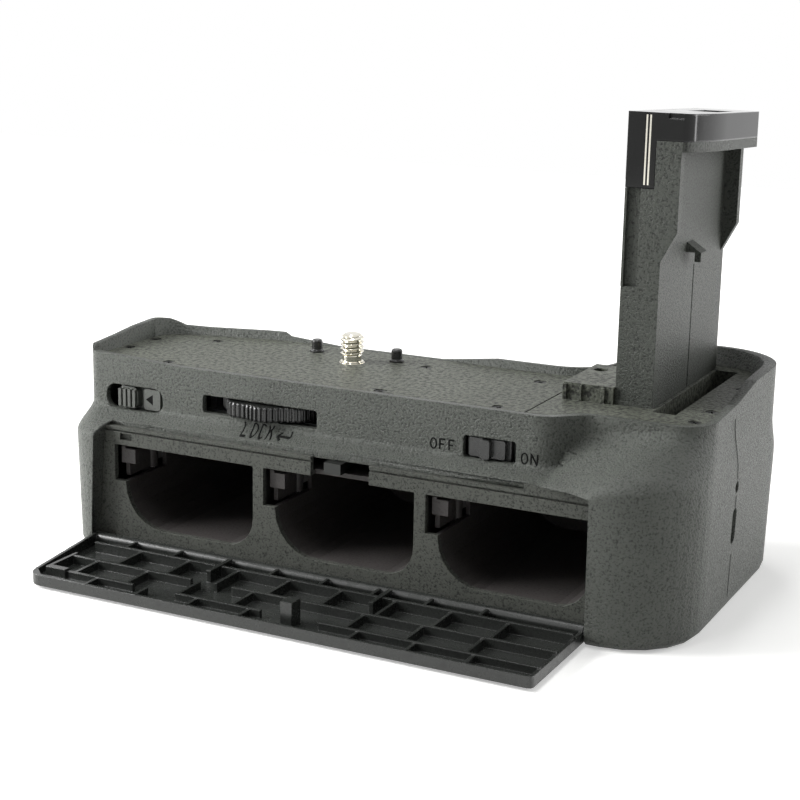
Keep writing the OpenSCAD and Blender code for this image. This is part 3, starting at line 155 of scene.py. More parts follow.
def ranged(
    tree: NodeTree, value: NodeSocket, start: Pair, end: tuple[Input, Input], eased: bool = False
) -> NodeSocket:
    """Adds a node that maps one range onto another and holds the result within it.

    Args:
        tree: The node tree.
        value: The value to map.
        start: The range that it comes from.
        end: The range that it goes to.
        eased: Whether the result eases in and out.

    Returns:
        The mapped value.
    """
    return add_node(tree, "ShaderNodeMapRange", {
        "Value": value, "From Min": start[0], "From Max": start[1], "To Min": end[0], "To Max": end[1]},
        interpolation_type="SMOOTHSTEP" if eased else "LINEAR").outputs["Result"]


def new_material(name: str) -> tuple[Material, NodeTree, Node]:
    """Makes an empty material.

    Args:
        name: The material's name.

    Returns:
        The material, its node tree and its output node.
    """
    material = bpy.data.materials.new(name)
    material.use_nodes = True
    tree = material.node_tree
    tree.nodes.clear()
    return material, tree, tree.nodes.new("ShaderNodeOutputMaterial")


@dataclass(frozen=True)
class MouldedPlastic:
    """A moulded or laid plastic: a grain, darker pits and a slow drift of tone."""

    name: str
    colour: str
    pit_colour: str
    roughness: float
    grain_mm: float = 0.6
    grain_depth_mm: float = 0.03
    bump: float = 0.35
    pit_share: float = 0.38
    drift_mm: float = 28.0
    specular: float = 0.5
    edge_mm: float = 0.2
    grain_detail: float = 3.0
    grain_roughness: float = 0.65
    pit_edge: float = 0.08
    drift_tone: Pair = (0.9, 1.1)
    gloss_spread: float = 0.06
    ior: float = 1.53

    def build(self) -> Material:
        """Builds the node material.

        Returns:
            The material.
        """
        material, tree, output = new_material(self.name)
        place = add_node(tree, "ShaderNodeTexCoord").outputs["Object"]
        grain = add_node(tree, "ShaderNodeTexNoise", {
            "Vector": place, "Scale": 1 / (self.grain_mm * MM), "Detail": self.grain_detail,
            "Roughness": self.grain_roughness}).outputs["Fac"]
        drift = add_node(tree, "ShaderNodeTexNoise", {
            "Vector": place, "Scale": 1 / (self.drift_mm * MM), "Detail": 2.0}).outputs["Fac"]
        pits = ranged(tree, grain, (
            self.pit_share - self.pit_edge, self.pit_share + self.pit_edge), UNIT_RANGE)
        tone = add_node(tree, "ShaderNodeMix", {
            "Factor": pits, "A": linear(self.pit_colour), "B": linear(self.colour)}, data_type="RGBA")
        shade = ranged(tree, drift, NOISE_RANGE, self.drift_tone)
        colour = add_node(tree, "ShaderNodeVectorMath", {
            0: tone.outputs["Result"], "Scale": shade}, operation="SCALE")
        gloss = ranged(tree, grain, NOISE_RANGE, (
            self.roughness + self.gloss_spread, self.roughness - self.gloss_spread))
        edge = add_node(tree, "ShaderNodeBevel", {"Radius": self.edge_mm * MM})
        relief = add_node(tree, "ShaderNodeBump", {
            "Height": grain, "Strength": self.bump, "Distance": self.grain_depth_mm * MM,
            "Normal": edge.outputs["Normal"]})
        shader = add_node(tree, "ShaderNodeBsdfPrincipled", {
            "Base Color": colour.outputs["Vector"], "Roughness": gloss, "Normal": relief.outputs["Normal"],
            "Specular IOR Level": self.specular, "IOR": self.ior})
        tree.links.new(shader.outputs["BSDF"], output.inputs["Surface"])
        return material


@dataclass(frozen=True)
class PlatedMetal:
    """Metal with a plated or drawn surface: fine streaks in its gloss and a faint change of tone."""

    name: str
    colour: str
    roughness: float
    streak_mm: float = 0.4
    streak_stretch: float = 8.0
    gloss_spread: float = 0.08
    tone: Pair = (0.92, 1.06)

    def build(self) -> Material:
        """Builds the node material.

        Returns:
            The material.
        """
        material, tree, output = new_material(self.name)
        place = add_node(tree, "ShaderNodeTexCoord").outputs["Object"]
        along = add_node(tree, "ShaderNodeMapping", {
            "Vector": place, "Scale": (1 / self.streak_stretch, 1.0, 1.0)})
        streak = add_node(tree, "ShaderNodeTexNoise", {
            "Vector": along.outputs["Vector"], "Scale": 1 / (self.streak_mm * MM),
            "Detail": 2.0}).outputs["Fac"]
        gloss = ranged(tree, streak, UNIT_RANGE, (
            self.roughness - self.gloss_spread, self.roughness + self.gloss_spread))
        shade = ranged(tree, streak, UNIT_RANGE, self.tone)
        colour = add_node(tree, "ShaderNodeVectorMath", {
            0: linear(self.colour)[:3], "Scale": shade}, operation="SCALE")
        shader = add_node(tree, "ShaderNodeBsdfPrincipled", {
            "Base Color": colour.outputs["Vector"], "Metallic": 1.0, "Roughness": gloss})
        tree.links.new(shader.outputs["BSDF"], output.inputs["Surface"])
        return material


@dataclass(frozen=True)
class ClearPlastic:
    """Clear moulded acrylic with a faint haze, milky enough to hide what is behind it."""

    name: str
    colour: str
    roughness: float = 0.12
    haze_mm: float = 1.2
    ior: float = 1.49
    clear_share: float = 0.1

    def build(self) -> Material:
        """Builds the node material.

        Returns:
            The material.
        """
        material, tree, output = new_material(self.name)
        place = add_node(tree, "ShaderNodeTexCoord").outputs["Object"]
        haze = add_node(tree, "ShaderNodeTexNoise", {"Vector": place, "Scale": 1 / (self.haze_mm * MM)})
        gloss = ranged(tree, haze.outputs["Fac"], UNIT_RANGE, (self.roughness, 2 * self.roughness))
        shader = add_node(tree, "ShaderNodeBsdfPrincipled", {
            "Base Color": linear(self.colour), "Roughness": gloss, "IOR": self.ior,
            "Transmission Weight": self.clear_share})
        tree.links.new(shader.outputs["BSDF"], output.inputs["Surface"])
        return material


Finish = Union[MouldedPlastic, PlatedMetal, ClearPlastic]


class Palette:
    """Every finish of the grip, built once.

    A plastic's numbers are its roughness, the size and depth of its grain, its bump and its share of pits.
    """

    # ABS shells, spark-eroded tool: a dark grey with pits that catch little light
    SHELL = MouldedPlastic("spark_eroded_abs", "#575a55", "#2f312e", 0.38, 0.58, 0.45, 1.0, 0.42,
                           specular=0.22, edge_mm=0.4)
    # ABS top, blasted tool: an even fine grain that looks paler at a low angle
    PLATE = MouldedPlastic("blasted_abs", "#5e6158", "#2f302d", 0.46, 1.2, 0.4, 1.0, 0.47, specular=0.16)
    # ABS bay face, plain tool finish: dark with a fine speckle and little gloss
    CAGE = MouldedPlastic("plain_abs", "#50524d", "#282927", 0.5, 0.55, 0.15, 0.9, 0.42, specular=0.18)
    # ABS sleeves, plain tool finish: near black
    SLEEVE = MouldedPlastic("sleeve_abs", "#423f3e", "#322f2e", 0.5, 0.6, 0.05, 0.5, specular=0.3)
    # ABS door, polished tool: smooth and half glossy, with faint flow marks
    DOOR = MouldedPlastic("polished_abs", "#292b29", "#1f201f", 0.28, 2.4, 0.01, 0.12, edge_mm=0.35)
    # Acetal controls: smooth, black and half glossy
    CONTROL = MouldedPlastic("black_acetal", "#1c1d1c", "#131413", 0.3, 0.8, 0.01, 0.15)
    # Filled acetal knob of the latch: dark grey, worn to a soft shine
    KNOB = MouldedPlastic("filled_acetal", "#4c4f4a", "#3a3c39", 0.34, 0.6, 0.01, 0.2)
    # Tower of filled nylon: satin black with a broken grain
    TOWER = MouldedPlastic("filled_nylon", "#484b46", "#232422", 0.42, 0.55, 0.3, 1.0, 0.42, specular=0.2)
    # Polycarbonate cap, mirror tool: piano black
    GLOSS = MouldedPlastic("gloss_polycarbonate", "#0c0d0c", "#090a09", 0.09, 6.0, 0.002, 0.05,
                           specular=0.3, edge_mm=0.6)
    # Natural nylon gears: cream and waxy
    NYLON = MouldedPlastic("natural_nylon", "#d8d5c8", "#c8c4b4", 0.45, 1.5, 0.01, 0.1)
    # Solder mask over glass laminate: green with a woven cast
    BOARD = MouldedPlastic("solder_mask", "#1f5a3a", "#184a2f", 0.35, 0.9, 0.01, 0.15)
    # Polyimide film: amber and smooth
    FILM = MouldedPlastic("polyimide_film", "#7a4a22", "#6a3f1c", 0.3, 1.5, 0.005, 0.1)
    # Flat black: painted shade standing in for the shade inside the engraved letters and pointer, and the
    # seam line's dark joint
    GROOVE_SHADE_AND_SEAM = MouldedPlastic("painted_groove_shade_and_seam", "#0d0e0d", "#080908", 0.7, 0.3, 0.01, 0.2, specular=0.1)
    # Nickel plating on brass: bright and slightly warm
    NICKEL = PlatedMetal("bright_nickel", "#e3dfd2", 0.14)
    # Zinc-plated steel: grey and soft
    ZINC = PlatedMetal("zinc_steel", "#b7b8b8", 0.34)
    # Blackened steel screws, latch bar and switch case: near black with a soft shine
    BLACKENED = PlatedMetal("blackened_steel", "#3a3b3a", 0.38)
    # Gold flash over nickel contacts
    GILT = PlatedMetal("gold_flash", "#d9b25c", 0.22)
    # Light pipe of the indicator
    CLEAR = ClearPlastic("clear_acrylic", "#eef0ea")

    def __init__(self) -> None:
        """Starts with no material built."""
        self._made: dict[str, Material] = {}

    def get(self, finish: Finish) -> Material:
        """Gives a finish's material, built on first use.

        Args:
            finish: One of this class's finishes.

        Returns:
            The finish's material.
        """
        if finish.name not in self._made:
            self._made[finish.name] = finish.build()
        return self._made[finish.name]


def add_object(name: str, data: bpy.types.ID) -> Object:
    """Adds an object to the scene.

    Args:
        name: The object's name.
        data: Its mesh, curve, lamp or camera.

    Returns:
        The new object.
    """
    made = bpy.data.objects.new(name, data)
    bpy.context.scene.collection.objects.link(made)
    return made


def smooth_by_angle(mesh: Mesh, degrees: float) -> None:
    """Shades a mesh smooth, with sharp edges where its faces meet at more than an angle.

    Args:
        mesh: The mesh to shade.
        degrees: The least angle of a sharp edge.
    """
    mesh.shade_smooth()
    mesh.set_sharp_from_angle(angle=math.radians(degrees))


def place_piece(
    name: str, mesh: Mesh, material: Material, body: Body, nodes: Sequence[str] = (),
    flat_sided: bool = True
) -> Object:
    """Adds a finished mesh to the scene as a piece of the object.

    Args:
        name: The piece's name.
        mesh: Its mesh, already in place.
        material: Its material.
        body: The body that it rides on.
        nodes: CAD nodes that it stands for.
        flat_sided: Whether its large faces are shaded flat up to their rounded edges.

    Returns:
        The new object.
    """
    mesh.name = name
    mesh.materials.clear()
    mesh.materials.append(material)
    piece = add_object(name, mesh)
    if flat_sided:
        piece.modifiers.new("even_normals", "WEIGHTED_NORMAL").keep_sharp = True
    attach(piece, body.value)
    if nodes:
        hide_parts(*nodes)
    LOG.info("%s: %d faces", name, len(mesh.polygons))
    return piece


def joined_copy(node: str) -> bmesh.types.BMesh:
    """Copies a CAD node's loose triangles into one mesh with shared points.

    Args:
        node: The CAD node's name.

    Returns:
        The joined mesh.
    """
    work = bmesh.new()
    work.from_mesh(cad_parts[node].data)
    bmesh.ops.remove_doubles(work, verts=work.verts, dist=JOIN_MM * MM)
    return work


def shaded_mesh(work: bmesh.types.BMesh, name: str, sharp: float) -> Mesh:
    """Turns a working mesh into a shaded one.

    Args:
        work: The working mesh, which is freed.
        name: The new mesh's name.
        sharp: The least angle of a sharp edge, in degrees.

    Returns:
        The new mesh.
    """
    mesh = bpy.data.meshes.new(name)
    work.to_mesh(mesh)
    work.free()
    smooth_by_angle(mesh, sharp)
    return mesh


def softened_mesh(node: str, width_mm: float, sharp: float, steps: int = 2) -> Mesh:
    """Copies a CAD node with its hard edges rounded, as a moulding's are.

    Args:
        node: The CAD node's name.
        width_mm: Width of the rounding.
        sharp: The least angle between faces, in degrees, of an edge that is rounded.
        steps: Steps across the rounding.

    Returns:
        The new mesh.
    """
    work = joined_copy(node)
    bmesh.ops.dissolve_limit(work, angle_limit=FLAT_ANGLE, verts=work.verts, edges=work.edges)
    limit = math.radians(sharp)
    edges = [e for e in work.edges if e.is_manifold and e.calc_face_angle(0) > limit]
    bmesh.ops.bevel(work, geom=edges, offset=width_mm * MM, segments=steps, profile=0.5,
                    affect="EDGES", clamp_overlap=True)
    return shaded_mesh(work, node, sharp)


def outward(mesh: Mesh) -> Mesh:
    """Joins a mesh's doubles and turns its faces outwards.

    Args:
        mesh: The mesh to mend.

    Returns:
        The same mesh.
    """
    work = bmesh.new()
    work.from_mesh(mesh)
    bmesh.ops.remove_doubles(work, verts=work.verts, dist=JOIN_MM * MM)
    bmesh.ops.recalc_face_normals(work, faces=work.faces)
    work.to_mesh(mesh)
    work.free()
    return mesh


def plain_mesh(holder: Object) -> Mesh:
    """Takes an object's evaluated shape and removes the object.

    Args:
        holder: The object, with its modifiers.

    Returns:
        The shape as a plain mesh.
    """
    graph = bpy.context.evaluated_depsgraph_get()
    mesh = bpy.data.meshes.new_from_object(holder.evaluated_get(graph))
    holder.modifiers.clear()
    bpy.data.objects.remove(holder)
    return mesh


def new_tree(name: str, sizes: Sequence[str], counts: Sequence[str] = ()) -> tuple[NodeTree, Node, Node]:
    """Starts a geometry tree with named inputs, the last of which is its material.

    Args:
        name: The tree's name.
        sizes: Names of its lengths.
        counts: Names of its whole numbers.

    Returns:
        The tree, its input node and its output node.
    """
    tree = bpy.data.node_groups.new(name, "GeometryNodeTree")
    kinds = {"Geometry": "NodeSocketGeometry"}
    kinds.update({label: "NodeSocketFloat" for label in sizes})
    kinds.update({label: "NodeSocketInt" for label in counts})
    kinds["Material"] = "NodeSocketMaterial"
    for label, kind in kinds.items():
        tree.interface.new_socket(label, in_out="INPUT", socket_type=kind)
    tree.interface.new_socket("Geometry", in_out="OUTPUT", socket_type="NodeSocketGeometry")
    return tree, tree.nodes.new("NodeGroupInput"), tree.nodes.new("NodeGroupOutput")


def end_tree(tree: NodeTree, shape: NodeSocket, source: Node, output: Node) -> None:
    """Ends a geometry tree in realised instances with a material.

    Args:
        tree: The tree.
        shape: The socket that holds the shape.
        source: The tree's input node, which has a Material input.
        output: The tree's output node.
    """
    real = add_node(tree, "GeometryNodeRealizeInstances", {"Geometry": shape})
    dressed = add_node(tree, "GeometryNodeSetMaterial", {
        "Geometry": real.outputs["Geometry"], "Material": source.outputs["Material"]})
    tree.links.new(dressed.outputs["Geometry"], output.inputs["Geometry"])


def grow(
    tree: NodeTree, material: Material, sizes_mm: dict[str, float], counts: Optional[dict[str, int]] = None,
    points_mm: Sequence[Point] = ((0.0, 0.0, 0.0),)
) -> Mesh:
    """Runs a geometry tree on a set of points and keeps the result as a plain mesh.

    Args:
        tree: The geometry tree.
        material: The tree's material input.
        sizes_mm: Its lengths by name.
        counts: Its whole numbers by name.
        points_mm: Where its input vertices lie.

    Returns:
        The plain mesh, with its faces turned outwards.
    """
    values: dict[str, object] = {name: size * MM for name, size in sizes_mm.items()}
    values.update(counts or {})
    values["Material"] = material
    seeds = bpy.data.meshes.new(tree.name)
    seeds.from_pydata([Vector(p) * MM for p in points_mm], [], [])
    carrier = add_object(tree.name, seeds)
    modifier = carrier.modifiers.new(tree.name, "NODES")
    modifier.node_group = tree
    for item in tree.interface.items_tree:
        if item.in_out == "INPUT" and item.name in values:
            modifier[item.identifier] = values[item.name]
    return outward(plain_mesh(carrier))


@dataclass(frozen=True)
class Lamp:
    """One soft lamp: its place and aim in metres, its width and height, and its power in watts."""

    name: str
    place: Point
    aim: Point
    size: Pair
    power: float

    def hang(self) -> None:
        """Adds the lamp to the scene."""
        data = bpy.data.lights.new(self.name, "AREA")
        data.shape = "RECTANGLE"
        data.size, data.size_y = self.size
        data.energy = self.power
        lamp = add_object(self.name, data)
        lamp.location = self.place
        lamp.rotation_euler = (Vector(self.aim) - Vector(self.place)).to_track_quat("-Z", "Y").to_euler()


@dataclass
class Studio:
    """Camera, floor, backdrop light and lamps."""

    floor_z: float
    eye_mm: Point = (215.18, -403.56, 101.74)
    azimuth: float = 26.42
    elevation: float = 13.78
    roll: float = 1.11
    focal_px: float = 1736.64
    frame_px: float = 800.0
    sensor_mm: float = 36.0
    nearest: float = 0.01
    floor_half: float = 0.9
    floor_colour: str = "#f4f4f2"
    floor_roughness: float = 0.9
    floor_glow: float = 0.4
    shadow_reach: Pair = (0.22, 0.5)
    ambient: float = 0.12
    lamps: tuple[Lamp, ...] = (
        Lamp("top", (-0.10, -0.02, 0.85), (0.02, 0.0, 0.0), (1.0, 0.14), 4.3),
        Lamp("left", (-0.45, -0.23, 0.22), (0.0, 0.0, 0.0), (0.28, 0.28), 4.7),
        Lamp("left_front", (-0.75, -0.70, 0.60), (0.0, 0.0, 0.0), (0.25, 0.25), 1.0),
        Lamp("right_back", (0.80, 0.66, 0.35), (0.03, 0.0, 0.0), (0.6, 0.6), 5.0),
        Lamp("strip", (0.80, 0.52, 0.10), (0.09, 0.0, 0.05), (0.08, 0.7), 1.0),
    )

    def build(self) -> None:
        """Builds the stage."""
        bpy.context.scene.view_settings.view_transform = "Standard"
        self._camera()
        self._world()
        self._floor()
        for lamp in self.lamps:
            lamp.hang()

    def _camera(self) -> None:
        """Sets the camera at the photograph's angle."""
        az, el = math.radians(self.azimuth), math.radians(self.elevation)
        back = Vector((math.sin(az) * math.cos(el), -math.cos(az) * math.cos(el), math.sin(el)))
        level = (-back).cross(Vector((0, 0, 1))).normalized()
        upright = level.cross(-back)
        tilt = math.radians(self.roll)
        right = level * math.cos(tilt) + upright * math.sin(tilt)
        up = upright * math.cos(tilt) - level * math.sin(tilt)
        data = bpy.data.cameras.new("camera")
        data.sensor_fit = "HORIZONTAL"
        data.sensor_width = self.sensor_mm
        data.lens = self.sensor_mm * self.focal_px / self.frame_px
        data.clip_start = self.nearest
        camera = add_object("camera", data)
        turn = Matrix((right, up, back)).transposed().to_4x4()
        camera.matrix_world = Matrix.Translation(Vector(self.eye_mm) * MM) @ turn
        bpy.context.scene.camera = camera

    def _world(self) -> None:
        """Makes a soft even light that looks white to the camera, in gloss and through glass."""
        world = bpy.data.worlds.new("studio")
        world.use_nodes = True
        tree = world.node_tree
        tree.nodes.clear()
        back = add_node(tree, "ShaderNodeBackground", {
            "Color": (1.0, 1.0, 1.0, 1.0),
            "Strength": ranged(tree, self._seen(tree), UNIT_RANGE, (self.ambient, 1.0))})
        output = tree.nodes.new("ShaderNodeOutputWorld")
        tree.links.new(back.outputs["Background"], output.inputs["Surface"])
        bpy.context.scene.world = world

    @staticmethod
    def _seen(tree: NodeTree) -> NodeSocket:
        """Tells light that is seen from light that only falls on the object.

        Args:
            tree: The node tree.

        Returns:
            1 for light that is seen directly, in gloss or through glass, and else 0.
        """
        rays = add_node(tree, "ShaderNodeLightPath").outputs
        direct = calc(tree, "MAXIMUM", rays["Is Camera Ray"], rays["Is Glossy Ray"])
        return calc(tree, "MAXIMUM", direct, rays["Is Transmission Ray"])

    def _floor(self) -> None:
        """Lays a plain pale floor that keeps the object's shadow and turns white further out."""
        half = self.floor_half
        ends = ((-half, -half), (half, -half), (half, half), (-half, half))
        corners = [(x, y, self.floor_z) for x, y in ends]
        mesh = bpy.data.meshes.new("floor")
        mesh.from_pydata(corners, [], [(0, 1, 2, 3)])
        # Matt paper: pale and without gloss
        material, tree, output = new_material("pale_paper")
        shader = add_node(tree, "ShaderNodeBsdfPrincipled", {
            "Base Color": linear(self.floor_colour), "Roughness": self.floor_roughness,
            "Specular IOR Level": 0.0})
        place = add_node(tree, "ShaderNodeTexCoord").outputs["Object"]
        far = add_node(tree, "ShaderNodeVectorMath", {0: place}, operation="LENGTH").outputs["Value"]
        white = ranged(tree, far, self.shadow_reach, (self.floor_glow, 1.0))
        light = add_node(tree, "ShaderNodeEmission", {
            "Strength": calc(tree, "MULTIPLY", self._seen(tree), white)})
        both = add_node(tree, "ShaderNodeAddShader", {
            0: shader.outputs["BSDF"], 1: light.outputs["Emission"]})
        tree.links.new(both.outputs["Shader"], output.inputs["Surface"])
        mesh.materials.append(material)
        floor = add_object("floor", mesh)


@dataclass
class Loft:
    """The body's outer face: an upper and a lower outline, joined by a flare between two heights.

    Every corner has its own heights. A late value above 1 holds a corner's height longer along the side that
    follows it. Below the taper's upper height the face leans in a little, as a moulding does.
    """

    upper_mm: Sequence[Corner]
    lower_mm: Sequence[Corner]
    flare_from_mm: Sequence[float]
    flare_to_mm: Sequence[float]
    late: Sequence[float]
    blend_mm: float = 0.0
    arc_steps: int = 10
    edge_steps: int = 20
    taper_mm: float = 0.7
    taper_z_mm: Pair = (-20.0, -48.5)

    def __post_init__(self) -> None:
        """Works out both outlines and the flare's heights at the same points."""
        self.upper = self._outline(self.upper_mm)
        self.lower = self._outline(self.lower_mm)
        self.start = self._heights(self.flare_from_mm)
        self.end = self._heights(self.flare_to_mm)

    def rings(self, depth: np.ndarray) -> np.ndarray:
        """Gives the outline at each of some heights.

        Args:
            depth: The heights in millimetres.

        Returns:
            For each height, the x and y of the outline's points.
        """
        part = np.clip((self.start - depth[:, None]) / (self.start - self.end), 0, 1)
        part = (part * part * (3 - 2 * part))[:, :, None]
        ring = self.upper + (self.lower - self.upper) * part
        run = np.roll(ring, -1, axis=1) - np.roll(ring, 1, axis=1)
        run /= np.linalg.norm(run, axis=2, keepdims=True)
        top, low = self.taper_z_mm
        inset = self.taper_mm * np.clip((top - depth) / (top - low), 0, 1)
        return ring + np.stack((-run[:, :, 1], run[:, :, 0]), axis=2) * inset[:, None, None]

    def _outline(self, corners: Sequence[Corner]) -> np.ndarray:
        """Draws an outline: an arc at each corner and a straight run after it.

        Args:
            corners: The outline's corners in order.

        Returns:
            The x and y of its points.
        """
        arcs = []
        count = len(corners)
        for i, (x, y, radius) in enumerate(corners):
            here = np.array((x, y))
            before = here - np.array(corners[i - 1][:2])
            after = np.array(corners[(i + 1) % count][:2]) - here
            u, v = before / np.linalg.norm(before), after / np.linalg.norm(after)
            bend = math.atan2(u[0] * v[1] - u[1] * v[0], float(u @ v))
            steps = np.arange(self.arc_steps + 1) / self.arc_steps
            if abs(bend) < FLAT_ANGLE:
                arcs.append(here + np.outer(radius * (steps - 0.5), u))
                continue
            first = here - u * radius * math.tan(abs(bend) / 2)
            hub = first + math.copysign(radius, bend) * np.array((-u[1], u[0]))
            turns = bend * steps
            arm = first - hub
            arcs.append(hub + np.stack((arm[0] * np.cos(turns) - arm[1] * np.sin(turns),
                                        arm[0] * np.sin(turns) + arm[1] * np.cos(turns)), axis=1))
        shares = (np.arange(1, self.edge_steps + 1) / (self.edge_steps + 1))[:, None]
        runs = [a[-1] + (b[0] - a[-1]) * shares for a, b in zip(arcs, arcs[1:] + arcs[:1])]
        return np.concatenate([p for pair in zip(arcs, runs) for p in pair])

    def _heights(self, values: Sequence[float]) -> np.ndarray:
        """Spreads one height per corner over the outline's points, blended along it.

        Args:
            values: The corners' heights.

        Returns:
            The points' heights.
        """
        shares = np.arange(1, self.edge_steps + 1) / (self.edge_steps + 1)
        parts = []
        for here, there, power in zip(values, (*values[1:], values[0]), self.late):
            parts += [np.full(self.arc_steps + 1, here), here + (there - here) * shares ** power]
        heights = np.concatenate(parts)
        if not self.blend_mm:
            return heights
        middle = (self.upper + self.lower) / 2
        step = np.linalg.norm(np.roll(middle, -1, axis=0) - middle, axis=1)
        run = np.concatenate(([0.0], np.cumsum(step)))
        apart = np.abs(run[:-1, None] - run[None, :-1])
        apart = np.minimum(apart, run[-1] - apart)
        weight = np.exp(-0.5 * (apart / self.blend_mm) ** 2) * (step + np.roll(step, 1))
        return weight @ heights / weight.sum(axis=1)


@dataclass
class BodySkin:
    """A shell's outer face, cut finely and laid from the CAD's outline onto a smoother one."""

    cad: Loft = field(default_factory=lambda: Loft(
        ((-65.5, -29.5, 3.5), (68.5, -29.5, 9.0), (75.0, -22.2, 6.0),
         (105.5, -22.2, 9.0), (105.5, 50.0, 19.0), (77.5, 50.0, 9.0),
         (60.5, 16.2, 14.0), (-32.75, 16.2, 34.0), (-65.5, 7.0, 9.0)),
        ((-66.1, -41.3, 11.0), (64.5, -41.3, 4.0), (76.5, -41.3, 5.0),
         (107.5, -41.3, 20.0), (107.5, 51.0, 19.0), (76.5, 51.0, 9.0),
         (58.0, 27.0, 10.0), (-32.75, 27.0, 34.0), (-66.1, 24.5, 9.0)),
        (-12.5, -12.0, -5.0, -1.0, -9.0, -9.0, -12.0, -12.0, -13.0),
        (-19.0, -17.6, -18.6, -13.0, -18.0, -18.0, -19.0, -19.0, -19.5),
        (1.0,) * 9))
    # Where the panel turns in at the right
    crease: Corner = (76.2, -22.2, 3.5)
    far_right: Corner = (107.2, 51.0, 19.0)
    crease_corner: int = 2
    far_right_corner: int = 4
    crease_from_mm: float = -4.0
    crease_late: float = 2.0
    blend_mm: float = 2.6
    lowest_mm: float = -48.55
    reach_mm: float = 0.45
    # Faces whose normal is nearer to upright than this are ledges and not part of the outer face
    ledge: float = 0.97
    cell_mm: float = 1.3
    most_cuts: int = 5
    sharp: float = 38.0

    def __post_init__(self) -> None:
        """Works out the smoother outline, with a firm crease and a straighter far right corner."""
        k = self.crease_corner
        upper, start, late = list(self.cad.upper_mm), list(self.cad.flare_from_mm), list(self.cad.late)
        upper[k], start[k], late[k - 1] = self.crease, self.crease_from_mm, self.crease_late
        upper[self.far_right_corner] = self.far_right
        self.fine = Loft(upper, self.cad.lower_mm, start, self.cad.flare_to_mm, late, self.blend_mm)

    def build(self, node: str) -> Mesh:
        """Copies a shell with its outer face laid on the smoother outline.

        Args:
            node: The shell's CAD node.

        Returns:
            The new mesh.
        """
        work = joined_copy(node)
        for _ in range(self.most_cuts):
            skin = self._skin(work)
            long = [e for e in work.edges if e.calc_length() > self.cell_mm * MM
                    and any(f in skin for f in e.link_faces)]
            if not long:
                break
            bmesh.ops.subdivide_edges(work, edges=long, cuts=1, use_grid_fill=False)
            bmesh.ops.triangulate(work, faces=[f for f in work.faces if len(f.verts) > 3])
        moved = list({v for f in self._skin(work) for v in f.verts})
        for vertex, (x, y) in zip(moved, self._feet(self.fine, moved)[1]):
            vertex.co.x, vertex.co.y = x * MM, y * MM
        return shaded_mesh(work, node, self.sharp)

    def _skin(self, work: bmesh.types.BMesh) -> set[bmesh.types.BMFace]:
        """Picks the faces that lie on the CAD's outline above the rounded bottom edge.

        Args:
            work: The shell.

        Returns:
            The faces.
        """
        verts = [v for v in work.verts if v.co.z / MM > self.lowest_mm]
        gaps = self._feet(self.cad, verts)[0]
        near = {v for v, gap in zip(verts, gaps) if gap < self.reach_mm}
        return {f for f in work.faces if abs(f.normal.z) < self.ledge and all(v in near for v in f.verts)}

    @staticmethod
    def _feet(loft: Loft, verts: Sequence[bmesh.types.BMVert]) -> tuple[np.ndarray, np.ndarray]:
        """Finds the nearest point of an outline at the height of each point.

        Args:
            loft: The outline.
            verts: The points.

        Returns:
            Each point's distance from the outline, and the nearest point's x and y.
        """
        spots = np.array([tuple(v.co / MM) for v in verts]).reshape(-1, 3)
        gaps, places = [], []
        for block in np.array_split(spots, max(1, len(spots) // POINTS_AT_ONCE)):
            ring = loft.rings(block[:, 2])
            step = np.roll(ring, -1, axis=1) - ring
            rel = block[:, None, :2] - ring
            along = np.clip((rel * step).sum(2) / np.maximum((step * step).sum(2), LEAST_SQUARE), 0, 1)
            gap = np.linalg.norm(rel - step * along[:, :, None], axis=2)
            rows, best = np.arange(len(block)), gap.argmin(axis=1)
            gaps.append(gap[rows, best])
            places.append(ring[rows, best] + step[rows, best] * along[rows, best][:, None])
        return np.concatenate(gaps), np.concatenate(places)


@dataclass
class Casing:
    """The two shells of the body."""

    palette: Palette

    def build(self) -> Object:
        """Builds the shells.

        Returns:
            The rear shell, which carries the controls.
        """
        plastic = self.palette.get(Palette.SHELL)
        shells = [place_piece(node + "_moulding", BodySkin().build(node), plastic, Body.GRIP, [node],
                              flat_sided=False) for node in ("rear_shell", "front_shell")]
        return shells[0]


@dataclass
class SoftenedPieces:
    """Mouldings whose CAD shape is right and that only need their edges rounded and a finish."""

    palette: Palette
    sharp: float = 35.0
    plate_sharp: float = 50.0

    def build(self) -> None:
        """Builds the softened pieces, each with the width of its rounding in millimetres."""
        p = Palette
        rows = [
            ("seat_plate", p.PLATE, Body.GRIP, "plate", 0.2, self.plate_sharp),
            ("tower_deck", p.PLATE, Body.GRIP, "plate", 0.2, self.plate_sharp),
            ("cage_face", p.CAGE, Body.GRIP, "inner_plastic", 0.12, self.sharp),
            ("battery_door", p.DOOR, Body.DOOR, "door", 0.25, self.sharp),
            ("latch_slider", p.KNOB, Body.LATCH, "control", 0.15, self.sharp),
            ("power_switch", p.CONTROL, Body.SWITCH, "control", 0.15, self.sharp),
            ("tower_near_half", p.TOWER, Body.GRIP, "tower", 0.2, self.sharp),
            ("tower_far_half", p.TOWER, Body.GRIP, "tower", 0.2, self.sharp),
            ("tower_cap", p.GLOSS, Body.GRIP, "gloss", 0.3, self.sharp),
            ("locating_pins", p.CONTROL, Body.GRIP, "control", 0.12, self.sharp),
        ]
        for node, finish, body, slot, width_mm, sharp in rows:
            mesh = softened_mesh(node, width_mm, sharp)
            place_piece(node + "_moulding", mesh, self.palette.get(finish), body, [node])


